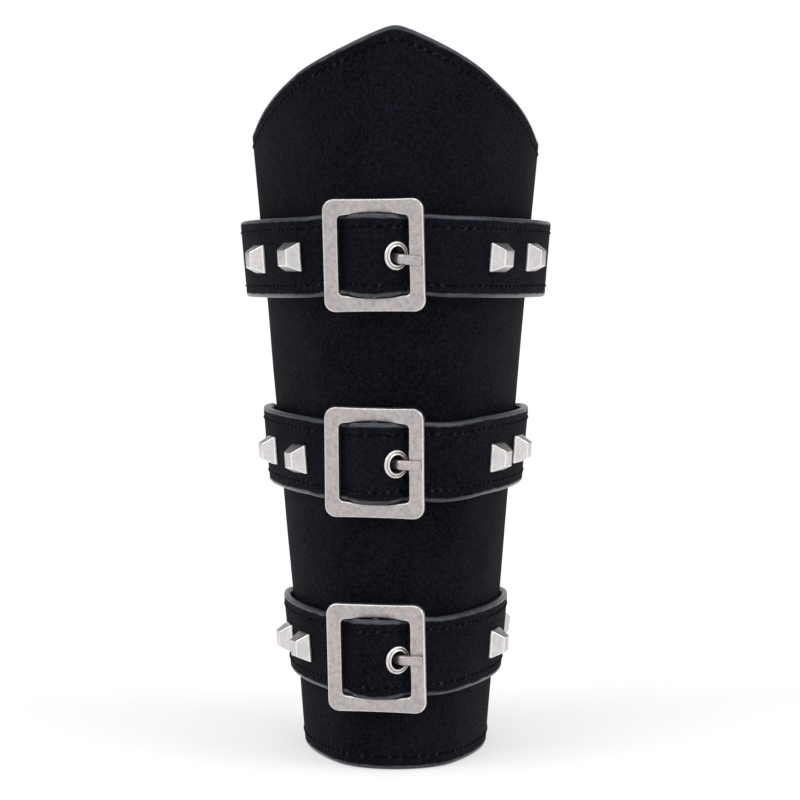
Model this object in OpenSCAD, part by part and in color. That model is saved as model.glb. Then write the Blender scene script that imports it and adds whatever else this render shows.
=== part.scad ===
// Leather bracer standing on its wrist rim, with three buckled and studded straps.
// +Z runs from the wrist rim to the point at the elbow, and -Y is the front.
// Plan directions are given as turns: 0 is the front, 90 the right side, 180 the back.

/* [Shell] */
// Half width of the shell at the wrist rim
wrist_half_w = 35; // [33:0.5:37]
// Growth of the half width for each millimetre of height
flare = 0.089; // [0.08:0.001:0.095]
// Radius of the rounded front at the wrist rim
front_r = 25.3; // [24:0.1:27]
// Growth of the front radius for each millimetre of height
front_r_growth = 0.06; // [0.05:0.001:0.07]
// Turn at which the rounded front passes into the flat side
front_turn = 60; // [56:1:62]
// Radius of the back corner at the wrist rim
back_r = 21; // [20:0.5:24]
// Growth of the back radius for each millimetre of height
back_r_growth = 0.07; // [0.06:0.001:0.08]
// Turn at which the shell stops beside the open back
edge_turn = 165; // [162:1:168]
// Height of the point above the wrist rim
apex_z = 266.5; // [256:0.5:276]
// Height of the level stretch of the top edge
shoulder_z = 230.5; // [226:0.5:236]
// Fall of the top edge for each millimetre along it, across the rounded front
top_slope = 0.43; // [0.39:0.005:0.45]
// Fall of the top edge for each millimetre along it, on the flat sides
side_slope = 0.31; // [0.29:0.005:0.33]
// Length over which the point is rounded
apex_round = 3; // [1:0.5:6]
// Height over which slope and level stretch run together
shoulder_round = 1.5; // [0.5:0.5:4]
// Length over which the two slopes run together
slope_round = 4; // [2:0.5:8]
// Radius of the corners beside the open back
shell_corner_r = 8; // [4:1:12]
// Thickness of the outer leather
shell_leather = 2.2; // [1.8:0.1:2.8]
// Thickness of the lining leather
lining_leather = 1.3; // [1:0.1:1.8]
// Distance of the lining's edge inside the outer leather's edge
lining_inset = 0.6; // [0.3:0.1:1]
// Distance of the shell's seam from its edges
shell_seam_inset = 4.6; // [3.5:0.1:6]

/* [Straps] */
// Width of each strap
strap_w = 28.8; // [28:0.1:29]
// Thickness of a strap's face leather
strap_leather = 1.7; // [1.4:0.1:1.9]
// Thickness of a strap's backing leather
strap_backing = 1.2; // [1:0.1:1.4]
// Glue line between two layers of leather
glue_line = 0.05; // [0.03:0.01:0.08]
// Height of the wrist strap's middle
wrist_strap_z = 42; // [38:0.5:46]
// Height of the middle strap's middle
middle_strap_z = 112.8; // [106:0.2:118]
// Height of the upper strap's middle
upper_strap_z = 186.4; // [180:0.2:190]
// Gap between the shell and the wrist strap along the sides
wrist_stand_off = 0.4; // [0.3:0.1:2]
// Gap between the shell and the middle strap along the sides
middle_stand_off = 2.3; // [0.5:0.1:4]
// Gap between the shell and the upper strap along the sides
upper_stand_off = 4.6; // [1:0.1:6]
// Turn at which each strap is cut off at the left
strap_cut_turn = 112; // [106:1:116]
// Turn at which the free tail begins at the right
tail_root_turn = 150; // [146:1:154]
// Turn at which the tail ends, counted from the front round the left
tail_tip_turn = 134; // [131:1:138]
// Radius of the tail's corners
tail_corner_r = 8; // [4:1:12]
// Radius of the cut end's corners
cut_corner_r = 3; // [1:0.5:5]
// Narrowing of each of a strap's edges beside the buckle's corners
strap_pinch = 0.65; // [0.6:0.05:0.7]
// Distance of a strap's seams from its edges
strap_seam_inset = 3.9; // [3:0.1:5]
// Width of the sewing thread
thread_w = 0.6; // [0.4:0.1:1]
// Height of the thread above the leather
thread_h = 0.35; // [0.2:0.05:0.5]

/* [Buckles] */
// Outer width of the frame
frame_w = 36; // [35:0.5:38]
// Outer height of the frame
frame_h = 39.8; // [39:0.2:42]
// Width of the frame's side bars
side_bar_w = 5.4; // [4.8:0.1:5.6]
// Thickness of the frame
frame_t = 2.6; // [2.2:0.1:3]
// Radius of the frame's outer corners
frame_corner_r = 4; // [3:0.5:5]
// Radius of the opening's corners
opening_corner_r = 1.6; // [1:0.1:2]
// Rise of the arched edges of the opening
opening_arch = 0.7; // [0.65:0.05:0.8]
// Gap between the strap's narrowed edges and the opening's corners
frame_strap_gap = 0.3; // [0.25:0.05:0.5]
// Radius of the centre bar
centre_bar_r = 1.3; // [1.1:0.05:1.4]
// Height of the centre bar's axis above the frame's back
centre_bar_lift = 1.0; // [0.9:0.05:1.2]
// Half width of the strap's rounded crest over the centre bar
crown_u = 3.3; // [3.1:0.05:3.5]
// Room between the strap's crest and the rings on the centre bar
crown_gap = 0.67; // [0.6:0.01:0.9]
// Depth of the strap's face below the side bars
strap_dip = 0.55; // [0.5:0.01:0.7]
// Distance of the strap's foot from the side bars
foot_gap = 0.7; // [0.6:0.05:0.8]
// Gap between shell and frame at the wrist
wrist_frame_lift = 3.0; // [2.8:0.1:4]
// Gap between shell and frame at the middle
middle_frame_lift = 3.4; // [3:0.1:5]
// Gap between shell and frame at the elbow end
upper_frame_lift = 5.6; // [4.6:0.1:6.4]
// Thickness of the prong
prong_t = 2; // [1.6:0.1:2.2]
// Width of the prong
prong_w = 3.3; // [2.8:0.1:3.6]
// Gap between the prong's tip and the frame's outer edge
prong_tip_gap = 1.3; // [0.8:0.1:2.5]
// Fall of the prong along its length
prong_fall_turn = 4; // [0:0.5:5]
// Running gap of prong and loop round the centre bar
bar_gap = 0.08; // [0.05:0.01:0.1]
// Wall of the prong's ring and of the leather loop round the bar
ring_wall = 0.9; // [0.8:0.05:1]

/* [Fittings] */
// Gap between the eyelet and the side bar above it, seen from the front
eyelet_gap = 0.5; // [0.3:0.05:0.6]
// Width of the eyelet's rim
eyelet_rim = 2.25; // [2.1:0.05:2.4]
// Height of the eyelet's flange
eyelet_flange_t = 0.9; // [0.7:0.1:1.1]
// Wall of the eyelet's barrel
eyelet_wall = 0.4; // [0.3:0.05:0.5]
// Width of the washer's rim behind the eyelet
washer_rim = 1.35; // [1.1:0.05:1.4]
// Side of a stud's square base
stud_base = 10.4; // [9.5:0.1:11]
// Side of a stud's flat top
stud_top = 5.8; // [5:0.1:7]
// Height of a stud
stud_h = 5.2; // [4.5:0.1:6]
// Radius of the post behind a stud
stud_post_r = 2; // [1.8:0.1:2.4]
// Radius of the screw that holds a stud
stud_screw_r = 1.2; // [1:0.1:1.3]
// Radius of that screw's head
screw_head_r = 3.6; // [3:0.1:4.5]
// Thickness of rivet and screw heads inside the shell
head_t = 0.9; // [0.7:0.1:1.2]
// Radius of the snap's cap
snap_cap_r = 6; // [5.5:0.1:7]
// Height of the snap's cap
snap_cap_h = 1.8; // [1.4:0.1:2.2]
// Turn at which the snap sits, counted from the front round the left
snap_turn = 151; // [149:0.5:153]
// Gap between shell and tail at the snap
snap_gap = 3.4; // [3.2:0.1:4]
// Radius of the snap's ball
snap_ball_r = 1.8; // [1.5:0.1:2]
// Radius of the rivets that hold the leather loop
loop_rivet_r = 1.2; // [1:0.1:1.4]

/* [Hidden] */
$fn = 48;

// The three levels, from the wrist up
WRIST = 0;
MIDDLE = 1;
UPPER = 2;
strap_z = [wrist_strap_z, middle_strap_z, upper_strap_z];
stand_off = [wrist_stand_off, middle_stand_off, upper_stand_off];
frame_lift = [wrist_frame_lift, middle_frame_lift, upper_frame_lift];
// Turns of the studs of each level, from left to right
stud_turns = [[-78, -67, 72, 118], [-75, -62, 64, 74], [-70, -56, 56, 70]];

black = [0.11, 0.11, 0.14];
dark_grey = [0.27, 0.28, 0.31];
thread_black = [0.04, 0.04, 0.05];
pewter = [0.71, 0.69, 0.68];
steel = [0.6, 0.6, 0.62];

strap_t = strap_leather + glue_line + strap_backing;
fit_gap = 0.1;

// Plan section of the shell at a height: rounded front, long side and back corner
function half_w(z) = wrist_half_w + flare * z;
function r_front(z) = front_r + front_r_growth * z;
function r_side(z) = (half_w(z) - r_front(z) * sin(front_turn)) / (1 - sin(front_turn));
function r_back(z) = back_r + back_r_growth * z;
function y_front_centre(z) = -(flare - front_r_growth) * z;
function y_side_centre(z) = y_front_centre(z) - (r_front(z) - r_side(z)) * cos(front_turn);

function radius_at(a, z) =
  abs(a) <= front_turn ? r_front(z) : abs(a) <= 90 ? r_side(z) : r_back(z);
function centre_at(a, z) =
  abs(a) <= front_turn ? [0, y_front_centre(z)]
  : [sign(a) * (half_w(z) - radius_at(a, z)), y_side_centre(z)];
function outward(a) = [sin(a), -cos(a)];
function along(a) = [cos(a), sin(a)];
// Point of the plan at a turn and a height, off millimetres outside the shell
function plan_at(a, z, off) =
  centre_at(a, z) + (radius_at(a, z) + off) * outward(a) + [0, plan_shift];
// Outward lean of the wall at a turn
function lean_at(a, z) = atan((plan_at(a, z + 1, 0) - plan_at(a, z, 0)) * outward(a));

// Top edge of the shell, by the length along it from the point
edge_z = (apex_z + shoulder_z) / 2;
function edge_len(a) = let (b = abs(a))
  r_front(edge_z) * min(b, front_turn) * PI / 180
  + r_side(edge_z) * (min(max(b, front_turn), 90) - front_turn) * PI / 180
  + r_back(edge_z) * (max(b, 90) - 90) * PI / 180;
// Bend from level to a rise of one, rounded over about r on both sides
function soft_bend(t, r) = (t + sqrt(t * t + 4 * r * r)) / 2;
function slope_z(s) = apex_z - top_slope * (norm([s, apex_round]) - apex_round)
  + (top_slope - side_slope) * soft_bend(s - edge_len(front_turn), slope_round);
function top_z(a) = shoulder_z + soft_bend(slope_z(edge_len(a)) - shoulder_z, shoulder_round);

// Quarter round drop of a corner of radius r at a distance from the cut end
function corner_drop(s, r) = s >= r ? 0 : r - sqrt(max(r * r - (r - s) * (r - s), 0));
function ease(t) = let (u = min(max(t, 0), 1)) u * u * (3 - 2 * u);

// Side view of a strap across its buckle: u runs along the frame, v away from its back
opening_w = frame_w - 2 * side_bar_w;
opening_h = strap_w - 2 * strap_pinch + 2 * frame_strap_gap;
ring_r = centre_bar_r + bar_gap + ring_wall;
foot_u = opening_w / 2 - foot_gap;
foot_v = -strap_dip;
foot_r = 8;
// Steepness of the strap where it falls away beside the centre bar
flank_turn = atan((centre_bar_lift + ring_r + strap_t + crown_gap - foot_v) / (foot_u - crown_u / 2));
crown_r = crown_u / sin(flank_turn);
crown_edge_v = foot_v + tan(flank_turn) * (foot_u - crown_u);
crown_lift = crown_edge_v + crown_r * (1 - cos(flank_turn));
// The eyelet fills the slope between the crest and the side bar
eyelet_flange_r = (opening_w / 2 - crown_u - eyelet_gap) / (2 * cos(flank_turn));
eyelet_hole_r = eyelet_flange_r - eyelet_rim;
eyelet_washer_r = eyelet_hole_r + washer_rim;
hole_u = opening_w / 2 - eyelet_gap - eyelet_flange_r * cos(flank_turn);
hole_v = foot_v + tan(flank_turn) * (foot_u - hole_u);
// Shift that sets the middle of the whole object's depth on the Z axis
front_reach = r_front(upper_strap_z + strap_w / 2) - y_front_centre(upper_strap_z + strap_w / 2)
  + upper_frame_lift + crown_lift;
back_reach = y_side_centre(upper_strap_z + strap_w / 2) + r_back(upper_strap_z + strap_w / 2)
  + upper_stand_off + strap_t;
plan_shift = (front_reach - back_reach) / 2;

function wall_r(level) = r_front(strap_z[level]);
// Turn of the strap where the foot runs out into the strap's own round
function foot_turn(level) = asin((foot_u + 2) / (wall_r(level) + frame_lift[level]));
function foot_end(level) = [
  foot_u + foot_r * (sin(flank_turn) - sin(foot_turn(level))),
  foot_v + foot_r * (cos(flank_turn) - cos(foot_turn(level)))
];
// Outer offset of the strap at the end of the foot, and the turn from the buckle's middle
function foot_reach(level) =
  norm([foot_end(level)[0], wall_r(level) + frame_lift[level] + foot_end(level)[1]]);
function foot_out(level) = foot_reach(level) - wall_r(level);
function foot_angle(level) = asin(foot_end(level)[0] / foot_reach(level));
function buckle_turn(level) = -asin(hole_u / (wall_r(level) + frame_lift[level] + hole_v));

// Outer offset of a strap away from its buckle
settle_turn = 34;
function strap_out(level, a) =
  let (base = stand_off[level] + strap_t)
  let (away = abs(a - buckle_turn(level)) - foot_angle(level))
  base + (foot_out(level) - base) * (1 - ease(away / settle_turn));
// Outer offset of a tail, from its root round the back to the snap
function tail_out(level, a) =
  let (base = stand_off[level] + strap_t)
  let (travel = a > 0 ? a - tail_root_turn : 360 + a - tail_root_turn)
  base + (snap_gap + strap_t - base) * ease(travel / (360 - snap_turn - tail_root_turn));

// A station is [kind, value]: a turn of the wall, a tail's turn, or a place across the buckle
WALL = 0;
TAIL = 1;
CROWN = 2;
FLANK = 3;
FOOT = 4;
function across(level, z, side) =
  let (b = buckle_turn(level))
  plan_at(b, z, 0) + side[0] * along(b) + (frame_lift[level] + side[1]) * outward(b);
// Place of a strap's face across the buckle in side view, depth millimetres inwards
function side_at(st, depth) =
  let (s = st[1])
  st[0] == CROWN ? [(crown_r - depth) * sin(s), crown_lift - crown_r + (crown_r - depth) * cos(s)]
  : st[0] == FLANK ? [
      s - depth * sign(s) * sin(flank_turn),
      crown_edge_v - tan(flank_turn) * (abs(s) - crown_u) - depth * cos(flank_turn)
    ]
  : [
      sign(s) * (foot_u + foot_r * sin(flank_turn)) - (foot_r + depth) * sin(s),
      foot_v + foot_r * cos(flank_turn) - (foot_r + depth) * cos(s)
    ];
// Point of a strap's outer face at a station and a height, depth millimetres inwards
function strap_at(level, st, z, depth) =
  st[0] == WALL ? plan_at(st[1], z, strap_out(level, st[1]) - depth)
  : st[0] == TAIL ? plan_at(st[1], z, tail_out(level, st[1]) - depth)
  : across(level, z, side_at(st, depth));
// Drop of a strap's point below its level, because it stands square to the leaning wall
function drop_at(level, st, depth) =
  let (v = st[0] == WALL || st[0] == TAIL ? foot_end(level)[1] : side_at(st, depth)[1])
  (frame_lift[level] + v) * sin(lean_at(0, strap_z[level]));

function steps(from, to, n) = [for (i = [0:n]) from + (to - from) * i / n];
function turns(list) = [for (a = list) [WALL, a]];
function strap_stations(level) =
  let (b = buckle_turn(level), f = foot_angle(level), t = foot_turn(level))
  concat(
    turns(cut_turns), turns(steps(-85, -front_turn, 12)),
    turns([for (i = [1:10]) -front_turn + (b - f + front_turn) * i / 11]),
    [for (a = steps(-t, -flank_turn, 3)) [FOOT, a]],
    [for (u = steps(-foot_u, -crown_u, 3)) if (u > -foot_u) [FLANK, u]],
    [for (a = steps(-flank_turn, flank_turn, 10)) if (abs(a) < flank_turn - 1) [CROWN, a]],
    [for (u = steps(crown_u, foot_u, 3)) if (u < foot_u) [FLANK, u]],
    [for (a = steps(flank_turn, t, 3)) [FOOT, a]],
    turns([for (i = [1:10]) b + f + (front_turn - b - f) * i / 11]),
    turns(steps(front_turn, 88, 12)), turns(steps(92, tail_root_turn - root_gap_turn, 12))
  );
// Columns of the cut end lie close together, so that its corners are round
cut_turns = concat(
  [for (s = [0, 0.15, 0.6, 1.3, 2.1, 3]) -strap_cut_turn + s * cut_corner_r / 3 * 1.6],
  steps(-102, -88, 4)
);
root_gap_turn = 0.2;
tail_stations = concat(
  [for (a = steps(tail_root_turn + root_gap_turn, 180, 6)) [TAIL, a]],
  [for (a = steps(-180, -snap_turn, 6)) [TAIL, a]],
  [for (a = steps(-snap_turn, -tail_tip_turn, 10)) if (a > -snap_turn) [TAIL, a]]
);
// Length along the strap from a turn of the wall to its cut end or its tip
function cut_dist(level, a) = (a + strap_cut_turn) * PI / 180
  * (r_back(strap_z[level]) + stand_off[level] + strap_t);
function tip_dist(level, a) = a > 0 ? tail_corner_r : (-tail_tip_turn - a) * PI / 180
  * (r_back(strap_z[level]) + snap_gap + strap_t);
// Narrowing of the strap: it starts on the crest and ends beyond the side bars
pinch_from = 2;
pinch_run = 6;
pinch_turn = 8;
function pinch_at(level, st) =
  st[0] == WALL ? strap_pinch
    * (1 - ease((abs(st[1] - buckle_turn(level)) - foot_angle(level)) / pinch_turn))
  : strap_pinch * ease((abs(side_at(st, 0)[0]) - pinch_from) / pinch_run);
function half_band(level, st) = strap_w / 2 - (
  st[0] == TAIL ? corner_drop(tip_dist(level, st[1]), tail_corner_r)
  : st[0] == WALL && st[1] < -90 ? corner_drop(cut_dist(level, st[1]), cut_corner_r)
  : pinch_at(level, st));

// Closed skin over columns of four points: outer low, outer high, inner high, inner low
module skin(columns) {
  n = len(columns);
  points = [for (c = columns, p = c) p];
  // Outer and inner faces are split along the same diagonal, so that layers stay apart
  sides = [
    for (i = [0:n - 2], k = [0:3])
      let (p = 4 * i + k, q = 4 * i + (k + 1) % 4)
        each k == 0 ? [[p, q, p + 4], [q, q + 4, p + 4]] : [[p, q, q + 4], [p, q + 4, p + 4]]
  ];
  last = 4 * (n - 1);
  ends = [[0, 2, 1], [0, 3, 2], [last, last + 1, last + 2], [last, last + 2, last + 3]];
  polyhedron(points = points, faces = concat(sides, ends), convexity = 10);
}

function put(p, z) = [p[0], p[1], z];
function strap_point(level, st, z, depth) =
  put(strap_at(level, st, z, depth), z - drop_at(level, st, depth));
function strap_column(level, st, low, high, from, to) = [
  strap_point(level, st, low, from), strap_point(level, st, high, from),
  strap_point(level, st, high, to), strap_point(level, st, low, to)
];
// A layer of a strap between two depths below its outer face
module strap_layer(level, stations, from, to) {
  z = strap_z[level];
  skin([
    for (st = stations) let (h = half_band(level, st))
      strap_column(level, st, z - h, z + h, from, to)
  ]);
}
// A thread that lies on a strap's face, rise millimetres above its middle
module strap_thread(level, stations, rise) {
  z = strap_z[level] + rise;
  skin([
    for (st = stations)
      strap_column(level, st, z - thread_w / 2, z + thread_w / 2, -thread_h - glue_line, -glue_line)
  ]);
}

// Places children on the wall at a turn and a height: Y points inwards and Z up the wall
module on_wall(a, z, off) {
  p = plan_at(a, z, off);
  translate([p[0], p[1], z]) rotate([0, 0, a]) rotate([lean_at(a, z), 0, 0]) children();
}
// Places children in a buckle's own frame, whose back lies in the plane Y = 0
module at_buckle(level) {
  on_wall(buckle_turn(level), strap_z[level], 0) translate([0, -frame_lift[level], 0]) children();
}
// Places children on the strap's face at the eyelet
module at_eyelet(level) {
  at_buckle(level) translate([hole_u, -hole_v, 0]) rotate([0, 0, flank_turn]) children();
}
// A pin along Y from one depth to the next
module pin(r, from, to) {
  translate([0, from, 0]) rotate([-90, 0, 0]) cylinder(r = r, h = to - from);
}
module at_stud(level, a) {
  on_wall(a, strap_z[level], strap_out(level, a)) children();
}
module at_snap(level) {
  on_wall(-snap_turn, strap_z[level], 0) children();
}
shell_t = shell_leather + glue_line + lining_leather;
// Gap that keeps a flat head clear of the hollow face behind it
head_gap = 0.25;
// How far the loop's foot and its rivets stay inside the foot of the strap's bulge
loop_foot_inset = [7.5, 1.9];
loop_rivet_inset = 5.1;
loop_foot = [for (inset = loop_foot_inset) foot_u - inset];
loop_foot_u = foot_u - loop_rivet_inset;
loop_foot_z = 7;
module at_loop_rivets(level) {
  turn = buckle_turn(level) - asin(loop_foot_u / wall_r(level));
  for (dz = [-loop_foot_z, loop_foot_z])
    on_wall(turn, strap_z[level] + dz, 0) children();
}
hole_reach = 20;
// Every hole through the shell: studs, snaps and loop rivets
module shell_holes() {
  for (level = [WRIST, MIDDLE, UPPER]) {
    for (a = stud_turns[level])
      at_stud(level, a) pin(stud_post_r + fit_gap, 0, hole_reach);
    at_snap(level) pin(loop_rivet_r + fit_gap, -hole_reach / 2, hole_reach);
    at_loop_rivets(level) pin(loop_rivet_r + fit_gap, -hole_reach / 4, hole_reach);
  }
}

shell_turns = concat(
  steps(-edge_turn, -155, 5), steps(-150, -92, 10), steps(-88, -front_turn, 13),
  [for (a = steps(-front_turn + 5, -10, 9)) a], [-6, -3, -1.5, 0, 1.5, 3, 6],
  [for (a = steps(10, front_turn - 5, 9)) a],
  steps(front_turn, 88, 13), steps(92, 150, 10), steps(155, edge_turn, 5)
);
function edge_dist(a) = (edge_turn - abs(a)) * PI / 180 * r_back(0);
function shell_low(a) = corner_drop(edge_dist(a), shell_corner_r / 2);
function shell_high(a) = top_z(a) - corner_drop(edge_dist(a), shell_corner_r);
function shell_column(a, low, high, from, to) = [
  put(plan_at(a, low, -from), low), put(plan_at(a, high, -from), high),
  put(plan_at(a, high, -to), high), put(plan_at(a, low, -to), low)
];
module shell_layer(from, to, inset) {
  difference() {
    skin([
      for (a = shell_turns)
        shell_column(a, shell_low(a) + inset, shell_high(a) - inset, from, to)
    ]);
    shell_holes();
  }
}
module shell_outer() {
  color(black) shell_layer(0, shell_leather, 0);
}
module shell_lining() {
  color(dark_grey) shell_layer(shell_leather + glue_line, shell_t, lining_inset);
}
// The seam follows the wrist rim and the top edge as two threads
module shell_stitching() {
  seam_turns = [for (a = shell_turns) if (abs(a) < edge_turn - 9) a];
  color(thread_black) {
    skin([
      for (a = seam_turns)
        shell_column(a, shell_seam_inset, shell_seam_inset + thread_w,
          -thread_h - glue_line, -glue_line)
    ]);
    skin([
      for (a = seam_turns) let (z = top_z(a) - shell_seam_inset)
        shell_column(a, z - thread_w, z, -thread_h - glue_line, -glue_line)
    ]);
  }
}

// Holes through a strap: studs and eyelet
module strap_holes(level) {
  for (a = stud_turns[level])
    at_stud(level, a) pin(stud_post_r + fit_gap, -hole_reach / 4, hole_reach / 2);
  at_eyelet(level) pin(eyelet_hole_r + eyelet_wall + fit_gap, -hole_reach / 8, strap_t + 1);
}
module strap(level) {
  color(black) difference() {
    strap_layer(level, strap_stations(level), 0, strap_leather);
    strap_holes(level);
  }
}
module backing(level) {
  color(dark_grey) difference() {
    strap_layer(level, strap_stations(level), strap_leather + glue_line, strap_t);
    strap_holes(level);
  }
}
module stitching(level) {
  seam = [
    for (st = strap_stations(level))
      if (st[0] != WALL || (st[1] > -strap_cut_turn + 7 && st[1] < tail_root_turn - 1)) st
  ];
  color(thread_black) for (side = [-1, 1])
    strap_thread(level, seam, side * (strap_w / 2 - strap_seam_inset));
}
module tail(level) {
  color(black) difference() {
    strap_layer(level, tail_stations, 0, strap_leather);
    at_snap(level) pin(loop_rivet_r + fit_gap, -hole_reach, 0);
  }
}
module tail_backing(level) {
  color(dark_grey) difference() {
    strap_layer(level, tail_stations, strap_leather + glue_line, strap_t);
    at_snap(level) pin(loop_rivet_r + fit_gap, -hole_reach, 0);
  }
}

module round_plate(w, h, r) {
  square([w - 2 * r, h], center = true);
  square([w, h - 2 * r], center = true);
  for (x = [-1, 1], y = [-1, 1])
    translate([x * (w / 2 - r), y * (h / 2 - r)]) circle(r);
}
// The opening's top and bottom edges are shallow arches
module opening_plan() {
  chord = opening_w - 2 * opening_corner_r;
  arch_r = (chord * chord / 4 + opening_arch * opening_arch) / (2 * opening_arch);
  round_plate(opening_w, opening_h, opening_corner_r);
  for (side = [-1, 1])
    intersection() {
      translate([0, side * (opening_h / 2 + opening_arch - arch_r)]) circle(arch_r, $fn = 180);
      translate([0, side * opening_h / 2]) square([chord, 4 * opening_arch], center = true);
    }
}
// Cast frame with its round centre bar
module buckle_frame(level) {
  color(pewter) at_buckle(level) {
    rotate([90, 0, 0]) linear_extrude(frame_t) difference() {
      round_plate(frame_w, frame_h, frame_corner_r);
      opening_plan();
    }
    translate([0, -centre_bar_lift, -opening_h / 2 - opening_arch - 1])
      cylinder(r = centre_bar_r, h = opening_h + 2 * opening_arch + 2);
  }
}

// The prong's middle line from its ring, through the eyelet and over the right bar
prong_end_u = frame_w / 2 - prong_tip_gap;
prong_rest_v = frame_t + glue_line + prong_t / 2;
prong_line = [
  [centre_bar_r, centre_bar_lift - 0.4], [hole_u - 3.4, hole_v - 2.75],
  [hole_u - 1.4, hole_v - 2.35], [hole_u + 1.2, hole_v - 0.34],
  [hole_u + 2.6, prong_rest_v - 0.3], [hole_u + 4, prong_rest_v], [prong_end_u, prong_rest_v]
];
function unit(v) = v / norm(v);
function bend(line, i) =
  unit(unit(line[min(i + 1, len(line) - 1)] - line[max(i, 0)] + [0.0001, 0])
    + unit(line[i] - line[max(i - 1, 0)] + [0.0001, 0]));
function side_line(line, d) = [
  for (i = [0:len(line) - 1]) let (t = bend(line, i)) line[i] + d * [-t[1], t[0]]
];
module prong(level) {
  upper_side = side_line(prong_line, prong_t / 2);
  under_side = side_line(prong_line, -prong_t / 2);
  outline = concat(upper_side, [for (i = [len(under_side) - 1:-1:0]) under_side[i]]);
  color(pewter) at_buckle(level) difference() {
    union() {
      translate([0, -centre_bar_lift, -prong_w / 2]) cylinder(r = ring_r, h = prong_w);
      rotate([0, prong_fall_turn, 0])
        translate([0, 0, -prong_w / 2])
          linear_extrude(prong_w) polygon([for (p = outline) [p[0], -p[1]]]);
    }
    translate([0, -centre_bar_lift, -prong_w])
      cylinder(r = centre_bar_r + bar_gap, h = 2 * prong_w);
  }
}

// Leather loop: wraps the centre bar on both sides of the prong and lies on the shell
loop_w = 22;
loop_slot_gap = 0.6;
function wall_v(level, u) =
  -frame_lift[level] - wall_r(level) + sqrt(wall_r(level) * wall_r(level) - u * u);
loop_foot_t = 1.2;
loop_gap = 0.16;
module loop(level) {
  mid_u = (loop_foot[0] + loop_foot[1]) / 2;
  near = wall_v(level, loop_foot[0]) + loop_gap;
  mid = wall_v(level, mid_u) + loop_gap;
  far = wall_v(level, loop_foot[1]) + loop_gap;
  neck_in = 0.6;
  color(black) difference() {
    at_buckle(level) difference() {
      union() {
        translate([0, -centre_bar_lift, -loop_w / 2]) cylinder(r = ring_r, h = loop_w);
        translate([0, 0, -loop_w / 2]) linear_extrude(loop_w) polygon([
          [-neck_in, -centre_bar_lift + neck_in], [-neck_in - 0.9, -centre_bar_lift - neck_in],
          [-loop_foot[0] - 0.8, -near - loop_foot_t], [-loop_foot[1], -far - loop_foot_t],
          [-loop_foot[1], -far], [-mid_u, -mid], [-loop_foot[0], -near]
        ]);
      }
      translate([0, -centre_bar_lift, -loop_w]) cylinder(r = centre_bar_r + bar_gap, h = 2 * loop_w);
      translate([-loop_foot[0], -centre_bar_lift - 2 * ring_r, -prong_w / 2 - loop_slot_gap])
        cube([2 * loop_foot[0], 6 * ring_r, prong_w + 2 * loop_slot_gap]);
    }
    at_loop_rivets(level) pin(loop_rivet_r + fit_gap, -hole_reach / 4, hole_reach);
  }
}
rivet_head_r = 1.9;
rivet_head_t = 0.5;
module loop_rivets(level) {
  foot_top = loop_foot_t + loop_gap + fit_gap;
  color(steel) at_loop_rivets(level) {
    pin(loop_rivet_r, -foot_top - rivet_head_t, shell_t + head_gap);
    pin(rivet_head_r, -foot_top - rivet_head_t, -foot_top);
    pin(rivet_head_r, shell_t + head_gap, shell_t + head_gap + rivet_head_t);
  }
}

// Flanged eyelet pressed through the strap, with a washer behind
washer_t = 0.35;
module eyelet(level) {
  roll_r = (eyelet_flange_r - eyelet_hole_r) / 2;
  barrel_h = strap_t + washer_t + eyelet_flange_t / 2;
  color(pewter) at_eyelet(level) rotate([90, 0, 0]) rotate_extrude() {
    translate([eyelet_hole_r, -strap_t - washer_t]) square([eyelet_wall, barrel_h]);
    translate([eyelet_hole_r, fit_gap]) square([2 * roll_r, eyelet_flange_t / 3]);
    intersection() {
      translate([eyelet_hole_r + roll_r, fit_gap - roll_r + eyelet_flange_t]) circle(roll_r);
      translate([eyelet_hole_r, fit_gap]) square([2 * roll_r, eyelet_flange_t]);
    }
  }
}
module eyelet_washer(level) {
  color(steel) at_eyelet(level) difference() {
    pin(eyelet_washer_r, strap_t + glue_line, strap_t + glue_line + washer_t);
    pin(eyelet_hole_r + eyelet_wall + glue_line, 0, 2 * strap_t);
  }
}

// Pyramid stud with a flat top and a threaded post behind
module stud() {
  b = stud_base / 2;
  t = stud_top / 2;
  skirt = 0.8;
  polyhedron(
    points = [
      [-b, -fit_gap, -b], [b, -fit_gap, -b], [b, -fit_gap, b], [-b, -fit_gap, b],
      [-b, -fit_gap - skirt, -b], [b, -fit_gap - skirt, -b],
      [b, -fit_gap - skirt, b], [-b, -fit_gap - skirt, b],
      [-t, -stud_h, -t], [t, -stud_h, -t], [t, -stud_h, t], [-t, -stud_h, t]
    ],
    faces = [
      [0, 1, 2, 3], [11, 10, 9, 8],
      [4, 5, 1, 0], [5, 6, 2, 1], [6, 7, 3, 2], [7, 4, 0, 3],
      [8, 9, 5, 4], [9, 10, 6, 5], [10, 11, 7, 6], [11, 8, 4, 7]
    ]
  );
}
function stud_depth(level, a) = strap_out(level, a) + shell_t;
// Gap that keeps a flat screw head clear of the back corner's hollow face
screw_gap = 0.4;
module studs(level) {
  color(pewter) for (a = stud_turns[level]) at_stud(level, a) difference() {
    union() {
      stud();
      pin(stud_post_r, -0.5, stud_depth(level, a) - fit_gap);
    }
    pin(stud_screw_r + fit_gap, 1, stud_depth(level, a) + 1);
  }
}
module stud_screws(level) {
  color(steel) for (a = stud_turns[level]) at_stud(level, a) {
    pin(stud_screw_r, 1.5, stud_depth(level, a) + head_t);
    pin(screw_head_r, stud_depth(level, a) + screw_gap, stud_depth(level, a) + screw_gap + head_t);
  }
}

// Press stud that closes the tail: cap and socket on the tail, ball and post on the shell
cap_rim = 0.6;
socket_r = 4.8;
socket_bore_r = 2.9;
socket_t = 1.2;
socket_floor = 0.3;
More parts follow.
